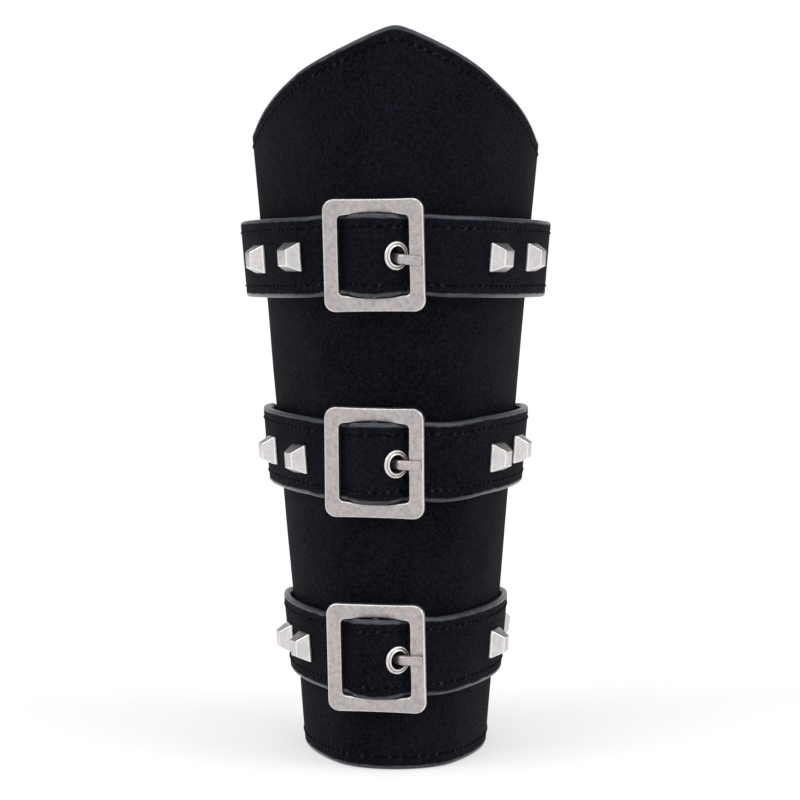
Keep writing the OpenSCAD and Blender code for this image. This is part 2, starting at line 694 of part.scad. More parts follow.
// Drop of the flat socket that keeps it clear of the hollow face behind it
socket_gap = 0.7;
ball_h = 1.1;
ball_gap = 0.6;
neck_r = snap_ball_r - 0.4;
snap_base_r = 4.8;
snap_base_t = 0.7;
post_head_r = 3;
module snap_cap(level) {
  dome = snap_cap_h - cap_rim;
  dome_r = (snap_cap_r * snap_cap_r + dome * dome) / (2 * dome);
  color(pewter) at_snap(level) translate([0, -snap_gap - strap_t - fit_gap, 0]) {
    pin(snap_cap_r, -cap_rim, 0);
    rotate([90, 0, 0]) rotate_extrude() intersection() {
      translate([0, snap_cap_h - dome_r]) circle(dome_r, $fn = 120);
      translate([0, cap_rim - fit_gap]) square([snap_cap_r, snap_cap_h]);
    }
    pin(loop_rivet_r, -cap_rim, strap_t + 2 * fit_gap);
  }
}
module snap_socket(level) {
  color(steel) at_snap(level) translate([0, -snap_gap + socket_gap, 0]) difference() {
    pin(socket_r, 0, socket_t);
    pin(socket_bore_r, socket_floor, 2 * socket_t);
  }
}
module snap_stud(level) {
  ball = -snap_gap + socket_gap + ball_gap;
  color(steel) at_snap(level) {
    pin(snap_base_r, -fit_gap - snap_base_t, -fit_gap);
    pin(neck_r, ball, -fit_gap);
    pin(snap_ball_r, ball, ball + ball_h);
  }
}
module snap_post(level) {
  color(steel) at_snap(level) {
    pin(post_head_r, shell_t + head_gap, shell_t + head_gap + head_t);
    pin(loop_rivet_r, -fit_gap + 0.02, shell_t + 2 * head_gap);
  }
}

// The sub-parts of the three levels
module wrist_strap() {
  strap(WRIST);
}
module wrist_strap_backing() {
  backing(WRIST);
}
module wrist_strap_stitching() {
  stitching(WRIST);
}
module wrist_tail() {
  tail(WRIST);
}
module wrist_tail_backing() {
  tail_backing(WRIST);
}
module wrist_loop() {
  loop(WRIST);
}
module wrist_loop_rivets() {
  loop_rivets(WRIST);
}
module wrist_eyelet() {
  eyelet(WRIST);
}
module wrist_eyelet_washer() {
  eyelet_washer(WRIST);
}
module wrist_studs() {
  studs(WRIST);
}
module wrist_stud_screws() {
  stud_screws(WRIST);
}
module wrist_buckle_frame() {
  buckle_frame(WRIST);
}
module wrist_prong() {
  prong(WRIST);
}
module wrist_snap_cap() {
  snap_cap(WRIST);
}
module wrist_snap_socket() {
  snap_socket(WRIST);
}
module wrist_snap_stud() {
  snap_stud(WRIST);
}
module wrist_snap_post() {
  snap_post(WRIST);
}
module middle_strap() {
  strap(MIDDLE);
}
module middle_strap_backing() {
  backing(MIDDLE);
}
module middle_strap_stitching() {
  stitching(MIDDLE);
}
module middle_tail() {
  tail(MIDDLE);
}
module middle_tail_backing() {
  tail_backing(MIDDLE);
}
module middle_loop() {
  loop(MIDDLE);
}
module middle_loop_rivets() {
  loop_rivets(MIDDLE);
}
module middle_eyelet() {
  eyelet(MIDDLE);
}
module middle_eyelet_washer() {
  eyelet_washer(MIDDLE);
}
module middle_studs() {
  studs(MIDDLE);
}
module middle_stud_screws() {
  stud_screws(MIDDLE);
}
module middle_buckle_frame() {
  buckle_frame(MIDDLE);
}
module middle_prong() {
  prong(MIDDLE);
}
module middle_snap_cap() {
  snap_cap(MIDDLE);
}
module middle_snap_socket() {
  snap_socket(MIDDLE);
}
module middle_snap_stud() {
  snap_stud(MIDDLE);
}
module middle_snap_post() {
  snap_post(MIDDLE);
}
module upper_strap() {
  strap(UPPER);
}
module upper_strap_backing() {
  backing(UPPER);
}
module upper_strap_stitching() {
  stitching(UPPER);
}
module upper_tail() {
  tail(UPPER);
}
module upper_tail_backing() {
  tail_backing(UPPER);
}
module upper_loop() {
  loop(UPPER);
}
module upper_loop_rivets() {
  loop_rivets(UPPER);
}
module upper_eyelet() {
  eyelet(UPPER);
}
module upper_eyelet_washer() {
  eyelet_washer(UPPER);
}
module upper_studs() {
  studs(UPPER);
}
module upper_stud_screws() {
  stud_screws(UPPER);
}
module upper_buckle_frame() {
  buckle_frame(UPPER);
}
module upper_prong() {
  prong(UPPER);
}
module upper_snap_cap() {
  snap_cap(UPPER);
}
module upper_snap_socket() {
  snap_socket(UPPER);
}
module upper_snap_stud() {
  snap_stud(UPPER);
}
module upper_snap_post() {
  snap_post(UPPER);
}

shell_outer();
shell_lining();
shell_stitching();
wrist_strap();
wrist_strap_backing();
wrist_strap_stitching();
wrist_tail();
wrist_tail_backing();
wrist_loop();
wrist_loop_rivets();
wrist_eyelet();
wrist_eyelet_washer();
wrist_studs();
wrist_stud_screws();
wrist_buckle_frame();
wrist_prong();
wrist_snap_cap();
wrist_snap_socket();
wrist_snap_stud();
wrist_snap_post();
middle_strap();
middle_strap_backing();
middle_strap_stitching();
middle_tail();
middle_tail_backing();
middle_loop();
middle_loop_rivets();
middle_eyelet();
middle_eyelet_washer();
middle_studs();
middle_stud_screws();
middle_buckle_frame();
middle_prong();
middle_snap_cap();
middle_snap_socket();
middle_snap_stud();
middle_snap_post();
upper_strap();
upper_strap_backing();
upper_strap_stitching();
upper_tail();
upper_tail_backing();
upper_loop();
upper_loop_rivets();
upper_eyelet();
upper_eyelet_washer();
upper_studs();
upper_stud_screws();
upper_buckle_frame();
upper_prong();
upper_snap_cap();
upper_snap_socket();
upper_snap_stud();
upper_snap_post();
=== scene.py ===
import math
import random

import bmesh
import bpy
from mathutils import Matrix, Vector, noise


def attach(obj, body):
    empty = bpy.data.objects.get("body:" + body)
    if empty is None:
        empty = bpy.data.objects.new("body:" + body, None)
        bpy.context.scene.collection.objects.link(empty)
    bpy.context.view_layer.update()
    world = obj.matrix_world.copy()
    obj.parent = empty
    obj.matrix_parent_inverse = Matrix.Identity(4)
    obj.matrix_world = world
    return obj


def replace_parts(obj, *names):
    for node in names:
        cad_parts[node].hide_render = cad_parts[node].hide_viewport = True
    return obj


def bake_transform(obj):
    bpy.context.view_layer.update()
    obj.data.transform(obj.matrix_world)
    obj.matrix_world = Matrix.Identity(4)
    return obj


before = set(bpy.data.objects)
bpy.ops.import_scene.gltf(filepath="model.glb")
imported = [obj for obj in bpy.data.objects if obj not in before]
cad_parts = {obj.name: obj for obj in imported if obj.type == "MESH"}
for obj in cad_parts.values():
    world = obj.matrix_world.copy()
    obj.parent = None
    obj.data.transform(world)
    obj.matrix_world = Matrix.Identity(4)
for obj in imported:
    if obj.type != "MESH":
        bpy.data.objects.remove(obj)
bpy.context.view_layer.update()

# Lengths are in millimetres and angles in degrees, as in the part's source.
# A turn is measured round the arm from the front, and is negative on the left of the picture.
# A list of three holds the values of the wrist, the middle and the upper strap.
MM = 0.001
LEVELS = ["wrist", "middle", "upper"]

# Plan of the shell: an arc in front, one at each side and one behind, all wider with the height
WRIST_HALF_W = 35
HALF_W_FLARE = 0.089
WRIST_FRONT_R = 25.3
FRONT_R_FLARE = 0.06
WRIST_BACK_R = 21
BACK_R_FLARE = 0.07
FRONT_TURN = 60
SIDE_TURN = 90
PLAN_SHIFT = -19.586
PLAN_LEAN = 0.029

# Top edge of the shell
APEX_Z = 266.5
SHOULDER_Z = 230.5
TOP_SLOPE = 0.43
SIDE_SLOPE = 0.31
APEX_ROUND = 3
SLOPE_ROUND = 4
SHOULDER_ROUND = 1.5
# On the left it is cut fuller: from a turn on, over a ramp, and faded out towards the back edge
LEFT_FULLER = 2.9
FULLER_TURN = 20
FULLER_RAMP = 65
FULLER_FADE = 50

# Leather of the shell
SHELL_T = 2.2
LINING_T = 1.3
LINING_INSET = 0.6
GLUE = 0.05
EDGE_TURN = 165
SHELL_CORNER = 8
SHELL_SEAM = 4.6
SHELL_EDGE_R = 0.95
LINING_EDGE_R = 0.5

# Straps: each stands off the shell, settles to that from its buckle's height, and climbs towards the sides
STRAP_Z = [42, 112.8, 186.4]
STRAP_W = 28.8
STRAP_T = 2.95
STRAP_SEAM = 4.3
STRAP_EDGE_R = 1.15
STRAP_GLUE_AT = 1.7
STAND_OFF = [0.4, 2.3, 4.6]
SETTLE_TURN = 34
STRAP_CLIMB = [1.0, 2.1, -0.4]
CLIMB_TURN = 25
CLIMB_RAMP = 55
CLIMB_FADE = 35

# Ends of the straps: cut on the left, joined to the tail on the right; the tail's tip lies on the left again
CUT_TURN = 112
CUT_CORNER = 3
JOIN_TURN = 141
ROOT_TURN = 150
ROOT_BEND = 3.5
TIP_TURN = 134
TAIL_END = 360 - TIP_TURN
TAIL_CORNER = 8
SNAP_TURN = 151
SNAP_GAP = 3.4
# How much larger the radius of their course round the back is than the shell's
BACK_OUT = 5

# Buckles
BUCKLE_TURN = [-12.3, -11.7, -9.945]
FRAME_LIFT = [3.0, 3.4, 5.6]
FRAME_ROLL = [-0.1, 0.7, -0.5]
FRAME_RISE = [0.5, 0.6, 0.75]
RISE_FADE = 20
FRAME_W = 36
FRAME_H = 39.8
FRAME_T = 2.6
FRAME_CORNER = 4
FRAME_WAIST = 0.12
SIDE_BAR = 5.4
OPENING_H = 28.1
OPENING_CORNER = 1.6
OPENING_ARCH = 0.7
BAR_R = 1.3
BAR_LIFT = 1.0

# The strap's bulge over the centre bar: a low crest between two steep flanks, each with a round foot
CREST_V = 6.7
CREST_R = 24
CREST_BLEND = 0.5
FLANK = 47
FOOT_U = 11.9
FOOT_V = -0.55
FOOT_R = 5.5
FOOT_RUN = 2
BULGE_LEAN = 0.6
# Its edges draw in to pass the frame's opening
EDGE_GAP = 0.15
NARROW_TURN = 8

# Eyelets and prongs
HOLE_U = 8.2
HOLE_R = 3.19
FLANGE_R = 5.2
BARREL_R = 3.59
BARREL_END = -STRAP_T - 0.35
PRONG_W = 3.6
PRONG_T = 2.0
PRONG_END = 17.3
PRONG_FALL = [0, 1.5, 6.5]
RING_R = 2.28

# Studs: set by hand, so each one sits a little above or below the middle of its strap
STUD_TURNS = [[-78, -67, 72, 118], [-75, -62, 64, 74], [-70, -56, 56, 70]]
STUD_RISE = [[0.4, 0, 0, 0.8], [1.2, 0, 0.3, 1.8], [-0.9, -0.3, -0.5, -0.2]]
STUD_BASE = 10.4
STUD_TOP = 5.8
STUD_H = 5.2
STUD_SKIRT = 0.8
STUD_FOOT = 0.1
STUD_BEVEL = 0.42
STUD_FACET = 3

# Seams: pitch, length, width and height of a stitch, and the depth of the dent along the seam
SHELL_STITCH = (3.6, 2.5, 0.9, 0.36)
STRAP_STITCH = (3.5, 2.4, 0.85, 0.34)
PRESS = 0.26

# Unevenness of the leather: size of a wave and its height
SHELL_WAVER = (34, 0.35)
STRAP_WAVER = (22, 0.18)

# Columns and rows of the leather meshes
EDGE_BAND = 2.4
WIDE_STEP = 3
STRAP_STEP = 2
SIDE_STEP = 1.1
SIDE_SKIP = 2
POINT_TURN = 6
SHELL_CORNER_STEP = 10
STRAP_CORNER_STEP = 12
BULGE_STEP = 0.7
SEAM_ROWS = (0.9, 0.35, 0, -0.35, -0.9)
SEAM_PRESS = {2: PRESS / 3, 3: PRESS, 4: PRESS / 2}
LATHE_SIDES = 48

# Light: the floor's share of white from the light and of its own, and the plain light from all round
FLOOR_TAKES = 0.5
FLOOR_GIVES = 0.51
WORLD_LIGHT = 0.48
# Where the ceiling and the flags beside the backdrop begin and end, and how bright they look in metal
CEILING = (0.35, 0.75)
BACKDROP = (0.97, 0.86)
DIMMED = 0.15
WHITE = (1, 1, 1, 1)

# Camera and floor, in metres
FLOOR_HALF = 40
FLOOR_AT = (0, 30, -0.0002)
CAMERA_AT = (0.0016, -0.9109, 0.180)
CAMERA_TILT = 87
CAMERA_LENS = 108.2
CAMERA_SENSOR = 36


# Small helpers

def sin_d(angle):
    return math.sin(math.radians(angle))


def cos_d(angle):
    return math.cos(math.radians(angle))


def ease(t):
    """Soft step from 0 to 1."""
    t = min(max(t, 0), 1)
    return t * t * (3 - 2 * t)


def spread(start, end, step):
    """Even steps from start to end, both included, about step apart."""
    count = max(1, round(abs(end - start) / step))
    return [start + (end - start) * i / count for i in range(count + 1)]


def soft_bend(t, r):
    """Bend from level to a rise of one, rounded over about r on both sides."""
    return (t + math.sqrt(t * t + 4 * r * r)) / 2


def waver(point, size, height):
    """Slow unevenness of hand-formed leather at a point."""
    return height * noise.noise(point / size)


# Shape of the shell

def half_w(z):
    return WRIST_HALF_W + HALF_W_FLARE * z


def r_front(z):
    return WRIST_FRONT_R + FRONT_R_FLARE * z


def r_side(z):
    s = sin_d(FRONT_TURN)
    return (half_w(z) - r_front(z) * s) / (1 - s)


def r_back(z):
    return WRIST_BACK_R + BACK_R_FLARE * z


def radius_at(turn, z):
    if abs(turn) <= FRONT_TURN:
        return r_front(z)
    return r_side(z) if abs(turn) <= SIDE_TURN else r_back(z)


def plan_at(turn, z, off):
    """Point at a turn and a height, off millimetres outside the shell."""
    r = radius_at(turn, z)
    x, y = 0, PLAN_SHIFT - PLAN_LEAN * z
    if abs(turn) > FRONT_TURN:
        x = math.copysign(1, turn) * (half_w(z) - r)
        y -= (r_front(z) - r_side(z)) * cos_d(FRONT_TURN)
    return Vector((x + (r + off) * sin_d(turn), y - (r + off) * cos_d(turn), z))


def outward(turn):
    return Vector((sin_d(turn), -cos_d(turn), 0))


def lean_at(turn, z):
    """How far the wall leans outwards."""
    step = plan_at(turn, z + 1, 0) - plan_at(turn, z, 0)
    return math.atan(step.dot(outward(turn)))


def edge_len(turn):
    """Length along the top edge from its point to a turn."""
    z, away = (APEX_Z + SHOULDER_Z) / 2, abs(turn)
    return math.radians(r_front(z) * min(away, FRONT_TURN)
                        + r_side(z) * (min(max(away, FRONT_TURN), SIDE_TURN) - FRONT_TURN)
                        + r_back(z) * (max(away, SIDE_TURN) - SIDE_TURN))


def top_z(turn):
    """Height of the top edge: a point, a straight slope, a flatter one and the level shoulder."""
    s = edge_len(turn)
    fall = TOP_SLOPE * (math.hypot(s, APEX_ROUND) - APEX_ROUND)
    ease_off = (TOP_SLOPE - SIDE_SLOPE) * soft_bend(s - edge_len(FRONT_TURN), SLOPE_ROUND)
    fuller = LEFT_FULLER * ease((-turn - FULLER_TURN) / FULLER_RAMP) * ease((turn + EDGE_TURN) / FULLER_FADE)
    return SHOULDER_Z + soft_bend(APEX_Z - fall + ease_off - SHOULDER_Z, SHOULDER_ROUND) + fuller


def wall_frame(turn, z, off):
    """Frame on the wall at a turn: X along, Y inwards, Z up the wall."""
    return (Matrix.Translation(plan_at(turn, z, off)) @ Matrix.Rotation(math.radians(turn), 4, "Z")
            @ Matrix.Rotation(lean_at(turn, z), 4, "X"))


# Shape of the straps
# A station along a strap is ("wall", turn), ("foot", angle on the foot's arc) or ("bulge", distance from
# the frame's middle). On the tail the turn runs on past 180.

def wall_r(level):
    return r_front(STRAP_Z[level])


def foot_turn(level):
    """Angle at which the foot's arc ends on the strap's round course."""
    return math.degrees(math.asin((FOOT_U + FOOT_RUN) / (wall_r(level) + FRAME_LIFT[level])))


def foot_end(level):
    """Side view point (along, off the frame's back) where the foot's arc ends."""
    t = foot_turn(level)
    return (FOOT_U + FOOT_R * (sin_d(FLANK) - sin_d(t)), FOOT_V + FOOT_R * (cos_d(FLANK) - cos_d(t)))


def foot_reach(level):
    u, v = foot_end(level)
    return math.hypot(u, wall_r(level) + FRAME_LIFT[level] + v)


def foot_angle(level):
    """Turn from the buckle's middle to the end of a foot."""
    return math.degrees(math.asin(foot_end(level)[0] / foot_reach(level)))


def beyond_buckle(level, station):
    """Turn between a station and the end of the strap's foot beside the buckle."""
    kind, s = station
    return abs(s - BUCKLE_TURN[level]) - foot_angle(level) if kind == "wall" else 0


def strap_out(level, turn):
    """Distance of a strap's outer face from the shell."""
    base = STAND_OFF[level] + STRAP_T
    if turn > ROOT_TURN:
        travel = (turn - ROOT_TURN) / (360 - SNAP_TURN - ROOT_TURN)
        return base + (SNAP_GAP + STRAP_T - base) * ease(travel)
    foot = foot_reach(level) - wall_r(level)
    return base + (foot - base) * (1 - ease(beyond_buckle(level, ("wall", turn)) / SETTLE_TURN))


def strap_climb(level, turn):
    """Rise of a strap's middle line towards the sides, level again where the tail begins."""
    climb = STRAP_CLIMB[level] * ease((abs(turn) - CLIMB_TURN) / CLIMB_RAMP)
    return climb if turn < 0 else climb * ease((JOIN_TURN - turn) / CLIMB_FADE)


def bulge_v(u):
    """Height of the strap's outer face over the buckle: the lower of crest and flank, with a soft change."""
    crest = CREST_V - u * u / (2 * CREST_R)
    flank = FOOT_V + math.tan(math.radians(FLANK)) * (FOOT_U - abs(u))
    return (crest + flank - math.hypot(crest - flank, 2 * CREST_BLEND)) / 2


def side_at(kind, s, depth):
    """Side view point of the strap where it crosses the buckle, at a depth under its outer face."""
    if kind == "bulge":
        normal = Vector((bulge_v(s - 0.05) - bulge_v(s + 0.05), 0.1)).normalized()
        return s - depth * normal[0], bulge_v(s) - depth * normal[1]
    way = math.copysign(1, s)
    return (way * (FOOT_U + FOOT_R * sin_d(FLANK)) - (FOOT_R + depth) * sin_d(s),
            FOOT_V + FOOT_R * cos_d(FLANK) - (FOOT_R + depth) * cos_d(s))


def strap_at(level, station, z, depth):
    """Point of a strap at a station, a height and a depth under its outer face."""
    kind, s = station
    lean = math.sin(lean_at(0, STRAP_Z[level]))
    drop = (FRAME_LIFT[level] + foot_end(level)[1]) * lean
    drop -= FRAME_RISE[level] * (1 - ease(beyond_buckle(level, station) / RISE_FADE))
    if kind == "wall":
        drop -= strap_climb(level, s)
        point = plan_at(s if s <= 180 else s - 360, z, strap_out(level, s) - depth)
    else:
        u, v = side_at(kind, s, depth)
        turn = BUCKLE_TURN[level]
        along = Vector((cos_d(turn), sin_d(turn), 0))
        drop += (v - foot_end(level)[1]) * lean * BULGE_LEAN
        point = plan_at(turn, z, 0) + u * along + (FRAME_LIFT[level] + v) * outward(turn)
    return point - Vector((0, 0, drop))


def half_band(level, station):
    """Half of the strap's width; its edges draw in to follow the frame's arched opening."""
    kind, s = station
    free = STRAP_W / 2
    corner = OPENING_H / 2 - EDGE_GAP
    if kind == "wall":
        return free + (corner - free) * (1 - ease(beyond_buckle(level, station) / NARROW_TURN))
    u = min(abs(side_at(kind, s, 0)[0]) / (FRAME_W / 2 - SIDE_BAR - OPENING_CORNER), 1)
    return corner + OPENING_ARCH * (1 - u * u)


def buckle_frame(level):
    at = wall_frame(BUCKLE_TURN[level], STRAP_Z[level], 0)
    return at @ Matrix.Translation((0, -FRAME_LIFT[level], FRAME_RISE[level]))


def eyelet_frame(level):
    slope = Matrix.Rotation(math.radians(FLANK), 4, "Z")
    return buckle_frame(level) @ Matrix.Translation((HOLE_U, -bulge_v(HOLE_U), 0)) @ slope


# Mesh building

def add_object(name, data):
    obj = bpy.data.objects.new(name, data)
    bpy.context.scene.collection.objects.link(obj)
    return obj


def object_from(bm, name):
    mesh = bpy.data.meshes.new(name)
    bm.to_mesh(mesh)
    bm.free()
    return add_object(name, mesh)


def make_object(name, verts, faces, material, rim=None, seam=None, polish=None, sharp=None):
    """Builds a smooth shaded mesh from points in millimetres and adds it to the scene."""
    mesh = bpy.data.meshes.new(name)
    mesh.from_pydata([tuple(c * MM for c in v) for v in verts], [], faces)
    mesh.materials.append(material)
    for label, values in (("rim", rim), ("seam", seam), ("polish", polish)):
        if values is not None:
            mesh.attributes.new(label, "FLOAT", "POINT").data.foreach_set("value", values)
    mesh.shade_smooth()
    if sharp is not None:
        mesh.set_sharp_from_angle(angle=math.radians(sharp))
    mesh.update()
    return add_object(name, mesh)


def join_parts(*parts):
    verts, faces = [], []
    for part_verts, part_faces in parts:
        base = len(verts)
        verts += part_verts
        faces += [tuple(base + i for i in face) for face in part_faces]
    return verts, faces


def ring_faces(rings, count, closed=False):
    """Faces between rings of count points each; closed joins the last ring to the first."""
    faces = []
    for a in range(rings if closed else rings - 1):
        b = (a + 1) % rings
        for i in range(count):
            k = (i + 1) % count
            faces.append((a * count + i, a * count + k, b * count + k, b * count + i))
    return faces


def circle(sides):
    turns = [2 * math.pi * i / sides for i in range(sides)]
    return [(math.cos(t), math.sin(t)) for t in turns]


def face_outwards(obj):
    bm = bmesh.new()
    bm.from_mesh(obj.data)
    bmesh.ops.recalc_face_normals(bm, faces=bm.faces)
    bm.to_mesh(obj.data)
    bm.free()
    return obj


def cut_with(obj, cutter):
    """Cuts another mesh out of obj for good, and removes it."""
    cut = obj.modifiers.new("cut", "BOOLEAN")
    cut.operation, cut.solver, cut.object = "DIFFERENCE", "EXACT", cutter
    bpy.context.view_layer.update()
    done = bpy.data.meshes.new_from_object(obj.evaluated_get(bpy.context.evaluated_depsgraph_get()))
    obj.modifiers.clear()
    obj.data = done
    bpy.data.objects.remove(cutter)


# Leather sheets

def edge_section(thick, r, glue_at):
    """Section over a leather edge from the outer to the inner face, as (distance from the edge, depth)."""
    over = [(r * (1 - cos_d(t)), r * (1 - sin_d(t))) for t in (80, 65, 50, 35, 18, 0)]
    middle = [(0.0, thick / 2)]
    if glue_at:
        middle = [(0.0, glue_at - 0.2), (0.09, glue_at), (0.0, glue_at + 0.2)]
    under = [(d, thick - h) for d, h in reversed(over)]
    flat = r * 1.3
    return [(EDGE_BAND, 0.0), (flat, 0.0)] + over + middle + under + [(flat, thick), (EDGE_BAND, thick)]


class Sheet:
    """A bent piece of leather given by columns of (station, bottom, top, bottom normal, top normal)."""

    def __init__(self, columns, place, slide, thick, edge_r, glue_at=None, seam=None, row_step=4):
        self.columns, self.place, self.slide, self.seam = columns, place, slide, seam
        self.section = edge_section(thick, edge_r, glue_at)
        self.verts, self.faces, self.rim, self.pressed = [], [], [], []
        tallest = max(column[2] - column[1] for column in columns)
        self.middle_rows = max(4, round(tallest / row_step))
        self.outer = self.grid(0, True)
        self.inner = self.grid(thick, False)
        self.cover(self.outer, False)
        self.cover(self.inner, True)
        self.band()

    def add(self, station, z, depth, rim, press=0.0):
        self.verts.append(self.place(station, z, depth + press))
        self.rim.append(rim)
        self.pressed.append(press / PRESS)
        return len(self.verts) - 1

    def rows_of(self, height):
        """Distances of the rows from the bottom one, close together at the seams."""
        near = [0.0]
        if self.seam:
            near += [self.seam - d - EDGE_BAND for d in SEAM_ROWS]
            scale = min(1, height / 2 / (near[-1] + 1.5))
            near = [n * scale for n in near]
        middle = spread(near[-1], height - near[-1], (height - 2 * near[-1]) / self.middle_rows)[1:-1]
        return near + middle + [height - n for n in reversed(near)]

    def press_at(self, row, count):
        return SEAM_PRESS.get(min(row, count - 1 - row), 0) if self.seam else 0

    def edge_point(self, column, side, d):
        """Station and height of a point at a distance d inside the bottom (side 0) or top (side 1) edge."""
        station, low, high, n_low, n_high = self.columns[column]
        z, n = (low, n_low) if side == 0 else (high, n_high)
        return self.slide(station, n[0] * d), z + n[1] * d

    def grid(self, depth, outer):
        """Points of one face up to the band along its edges, column by column."""
        grid = []
        for j in range(len(self.columns)):
            (s0, z0), (s1, z1) = self.edge_point(j, 0, EDGE_BAND), self.edge_point(j, 1, EDGE_BAND)
            rows = self.rows_of(z1 - z0)
            line = []
            for k, h in enumerate(rows):
                t = h / (z1 - z0)
                station = (s0[0], s0[1] + (s1[1] - s0[1]) * t)
                press = self.press_at(k, len(rows)) if outer else 0
                line.append(self.add(station, z0 + h, depth, EDGE_BAND + min(h, z1 - z0 - h), press))
            grid.append(line)
        return grid

    def cover(self, grid, flip):
        for left, right in zip(grid, grid[1:]):
            for k in range(len(left) - 1):
                quad = [left[k], right[k], right[k + 1], left[k + 1]]
                self.faces.append(quad[::-1] if flip else quad)

    def border(self):
        """Way round the sheet as (column, side, row); side is None at the two ends."""
        n, m = len(self.columns) - 1, len(self.outer[0]) - 1
        path = [(j, 0, 0) for j in range(n + 1)]
        path += [(n, None, k) for k in range(1, m)] + [(j, 1, m) for j in range(n, -1, -1)]
        return path + [(0, None, k) for k in range(m - 1, 0, -1)]

    def border_point(self, column, side, row, d):
        if side is not None:
            return self.edge_point(column, side, d)
        z0, z1 = self.edge_point(column, 0, EDGE_BAND)[1], self.edge_point(column, 1, EDGE_BAND)[1]
        (station, b0), (_, b1) = self.edge_point(column, 0, d), self.edge_point(column, 1, d)
        return station, b0 + (b1 - b0) * self.rows_of(z1 - z0)[row] / (z1 - z0)

    def band(self):
        """Faces over the edge, from the outer grid's border to the inner grid's."""
        path = self.border()
        rings = [[self.outer[j][k] for j, _, k in path]]
        for d, depth in self.section[1:-1]:
            rings.append([self.add(*self.border_point(j, side, k, d), depth, d) for j, side, k in path])
        rings.append([self.inner[j][k] for j, _, k in path])
        for a, b in zip(rings, rings[1:]):
            for i in range(len(path)):
                k = (i + 1) % len(path)
                self.faces.append([a[i], b[i], b[k], a[k]])

    def seam_line(self, side, inset, first, last):
        """Points and outward normals along a seam beside one long edge."""
        line = []
        for j in range(first, last):
            station, z = self.edge_point(j, side, inset)
            point = self.place(station, z, 0)
            line.append((point, (point - self.place(station, z, 1)).normalized()))
        return line


def corner_normal(s, r, side):
    """Inward normal of a rounded corner at a distance s from the end; side is 1 for the bottom."""
    c = (r - s) / r if s < r else 0
    return c, side * math.sqrt(max(0, 1 - c * c))


def corner_drop(s, r):
    return 0 if s >= r else r - math.sqrt(max(r * r - (r - s) ** 2, 0))


# Stitches

def stitch_shape(length, width, height):
    """A short plump stitch along X that rises along Z."""
    profile = [(-0.5, 0.25), (-0.4, 0.75), (-0.2, 0.98), (0, 1), (0.2, 0.98), (0.4, 0.75), (0.5, 0.25)]
    sides = 8
    verts = []
    for x, r in profile:
        sink = (1 - r) * height * 0.7
        verts += [(x * length, r * width / 2 * c, r * height * s - sink) for c, s in circle(sides)]
    last = len(verts)
    ends = [tuple(range(sides - 1, -1, -1)), tuple(range(last - sides, last))]
    return verts, ring_faces(len(profile), sides) + ends


def sew(name, lines, stitch, rng):
    """Stitches laid at an even pitch along each line of (point, normal)."""
    pitch, length, width, height = stitch
    shape, shape_faces = stitch_shape(length, width, height)
    parts = []
    for line in lines:
        run = [0]
        for (p, _), (q, _) in zip(line, line[1:]):
            run.append(run[-1] + (q - p).length)
        count = max(1, round(run[-1] / pitch))
        i = 0
        for c in range(count):
            at = (c + 0.5) * run[-1] / count
            while run[i + 1] < at:
                i += 1
            t = (at - run[i]) / (run[i + 1] - run[i])
            (p, n0), (q, n1) = line[i], line[i + 1]
            x = (q - p).normalized()
            z = n0.lerp(n1, t)
            z = (z - z.dot(x) * x).normalized()
            y = z.cross(x)
            x = (x + y * rng.uniform(-0.05, 0.05) + y * 0.1).normalized()
            y = z.cross(x)
            grow = rng.uniform(0.94, 1.05)
            middle = p.lerp(q, t)
            parts.append(([middle + x * (v[0] * grow) + y * v[1] + z * v[2] for v in shape], shape_faces))
    verts, faces = join_parts(*parts)
    return make_object(name, verts, faces, THREAD)


# Shader groups and materials

COLOUR, NUMBER = "NodeSocketColor", "NodeSocketFloat"


class Nodes:
    """Small helper that adds and links the nodes of one tree."""

    def __init__(self, tree):
        self.tree = tree

    def add(self, kind, **settings):
        node = self.tree.nodes.new(kind)
        for key, value in settings.items():
            setattr(node, key, value)
        return node

    def link(self, source, target):
        self.tree.links.new(source, target)

    def feed(self, socket, value):
        """Sets a plain value on a socket, or links an output to it."""
        if isinstance(value, (int, float, tuple)):
            socket.default_value = value
        else:
            self.link(value, socket)

    def here(self):
        return self.add("ShaderNodeTexCoord").outputs["Object"]

    def attribute(self, name):
        return self.add("ShaderNodeAttribute", attribute_name=name).outputs["Fac"]

    def noise(self, vector, scale, detail, rough):
        node = self.add("ShaderNodeTexNoise")
        for label, value in (("Scale", scale), ("Detail", detail), ("Roughness", rough), ("Vector", vector)):
            self.feed(node.inputs[label], value)
        return node.outputs["Fac"]

    def stretch(self, value, low, high, to_low=0.0, to_high=1.0):
        node = self.add("ShaderNodeMapRange")
        labels = ("Value", "From Min", "From Max", "To Min", "To Max")
        for label, v in zip(labels, (value, low, high, to_low, to_high)):
            self.feed(node.inputs[label], v)
        return node.outputs["Result"]

    def math(self, operation, a, b):
        node = self.add("ShaderNodeMath", operation=operation)
        self.feed(node.inputs[0], a)
        self.feed(node.inputs[1], b)
        return node.outputs[0]

    def mix(self, factor, a, b):
        node = self.add("ShaderNodeMix", data_type="RGBA")
        for i, value in ((0, factor), (6, a), (7, b)):
            self.feed(node.inputs[i], value)
        return node.outputs[2]

    def place(self, group, **values):
        """Places a node group with its own values."""
        node = self.add("ShaderNodeGroup", node_tree=group)
        for label, value in values.items():
            node.inputs[label].default_value = value
        return node.outputs

    def bump(self, shader, height, distance):
        node = self.add("ShaderNodeBump")
        node.inputs["Distance"].default_value = distance
        self.link(height, node.inputs["Height"])
        self.link(node.outputs["Normal"], shader.inputs["Normal"])


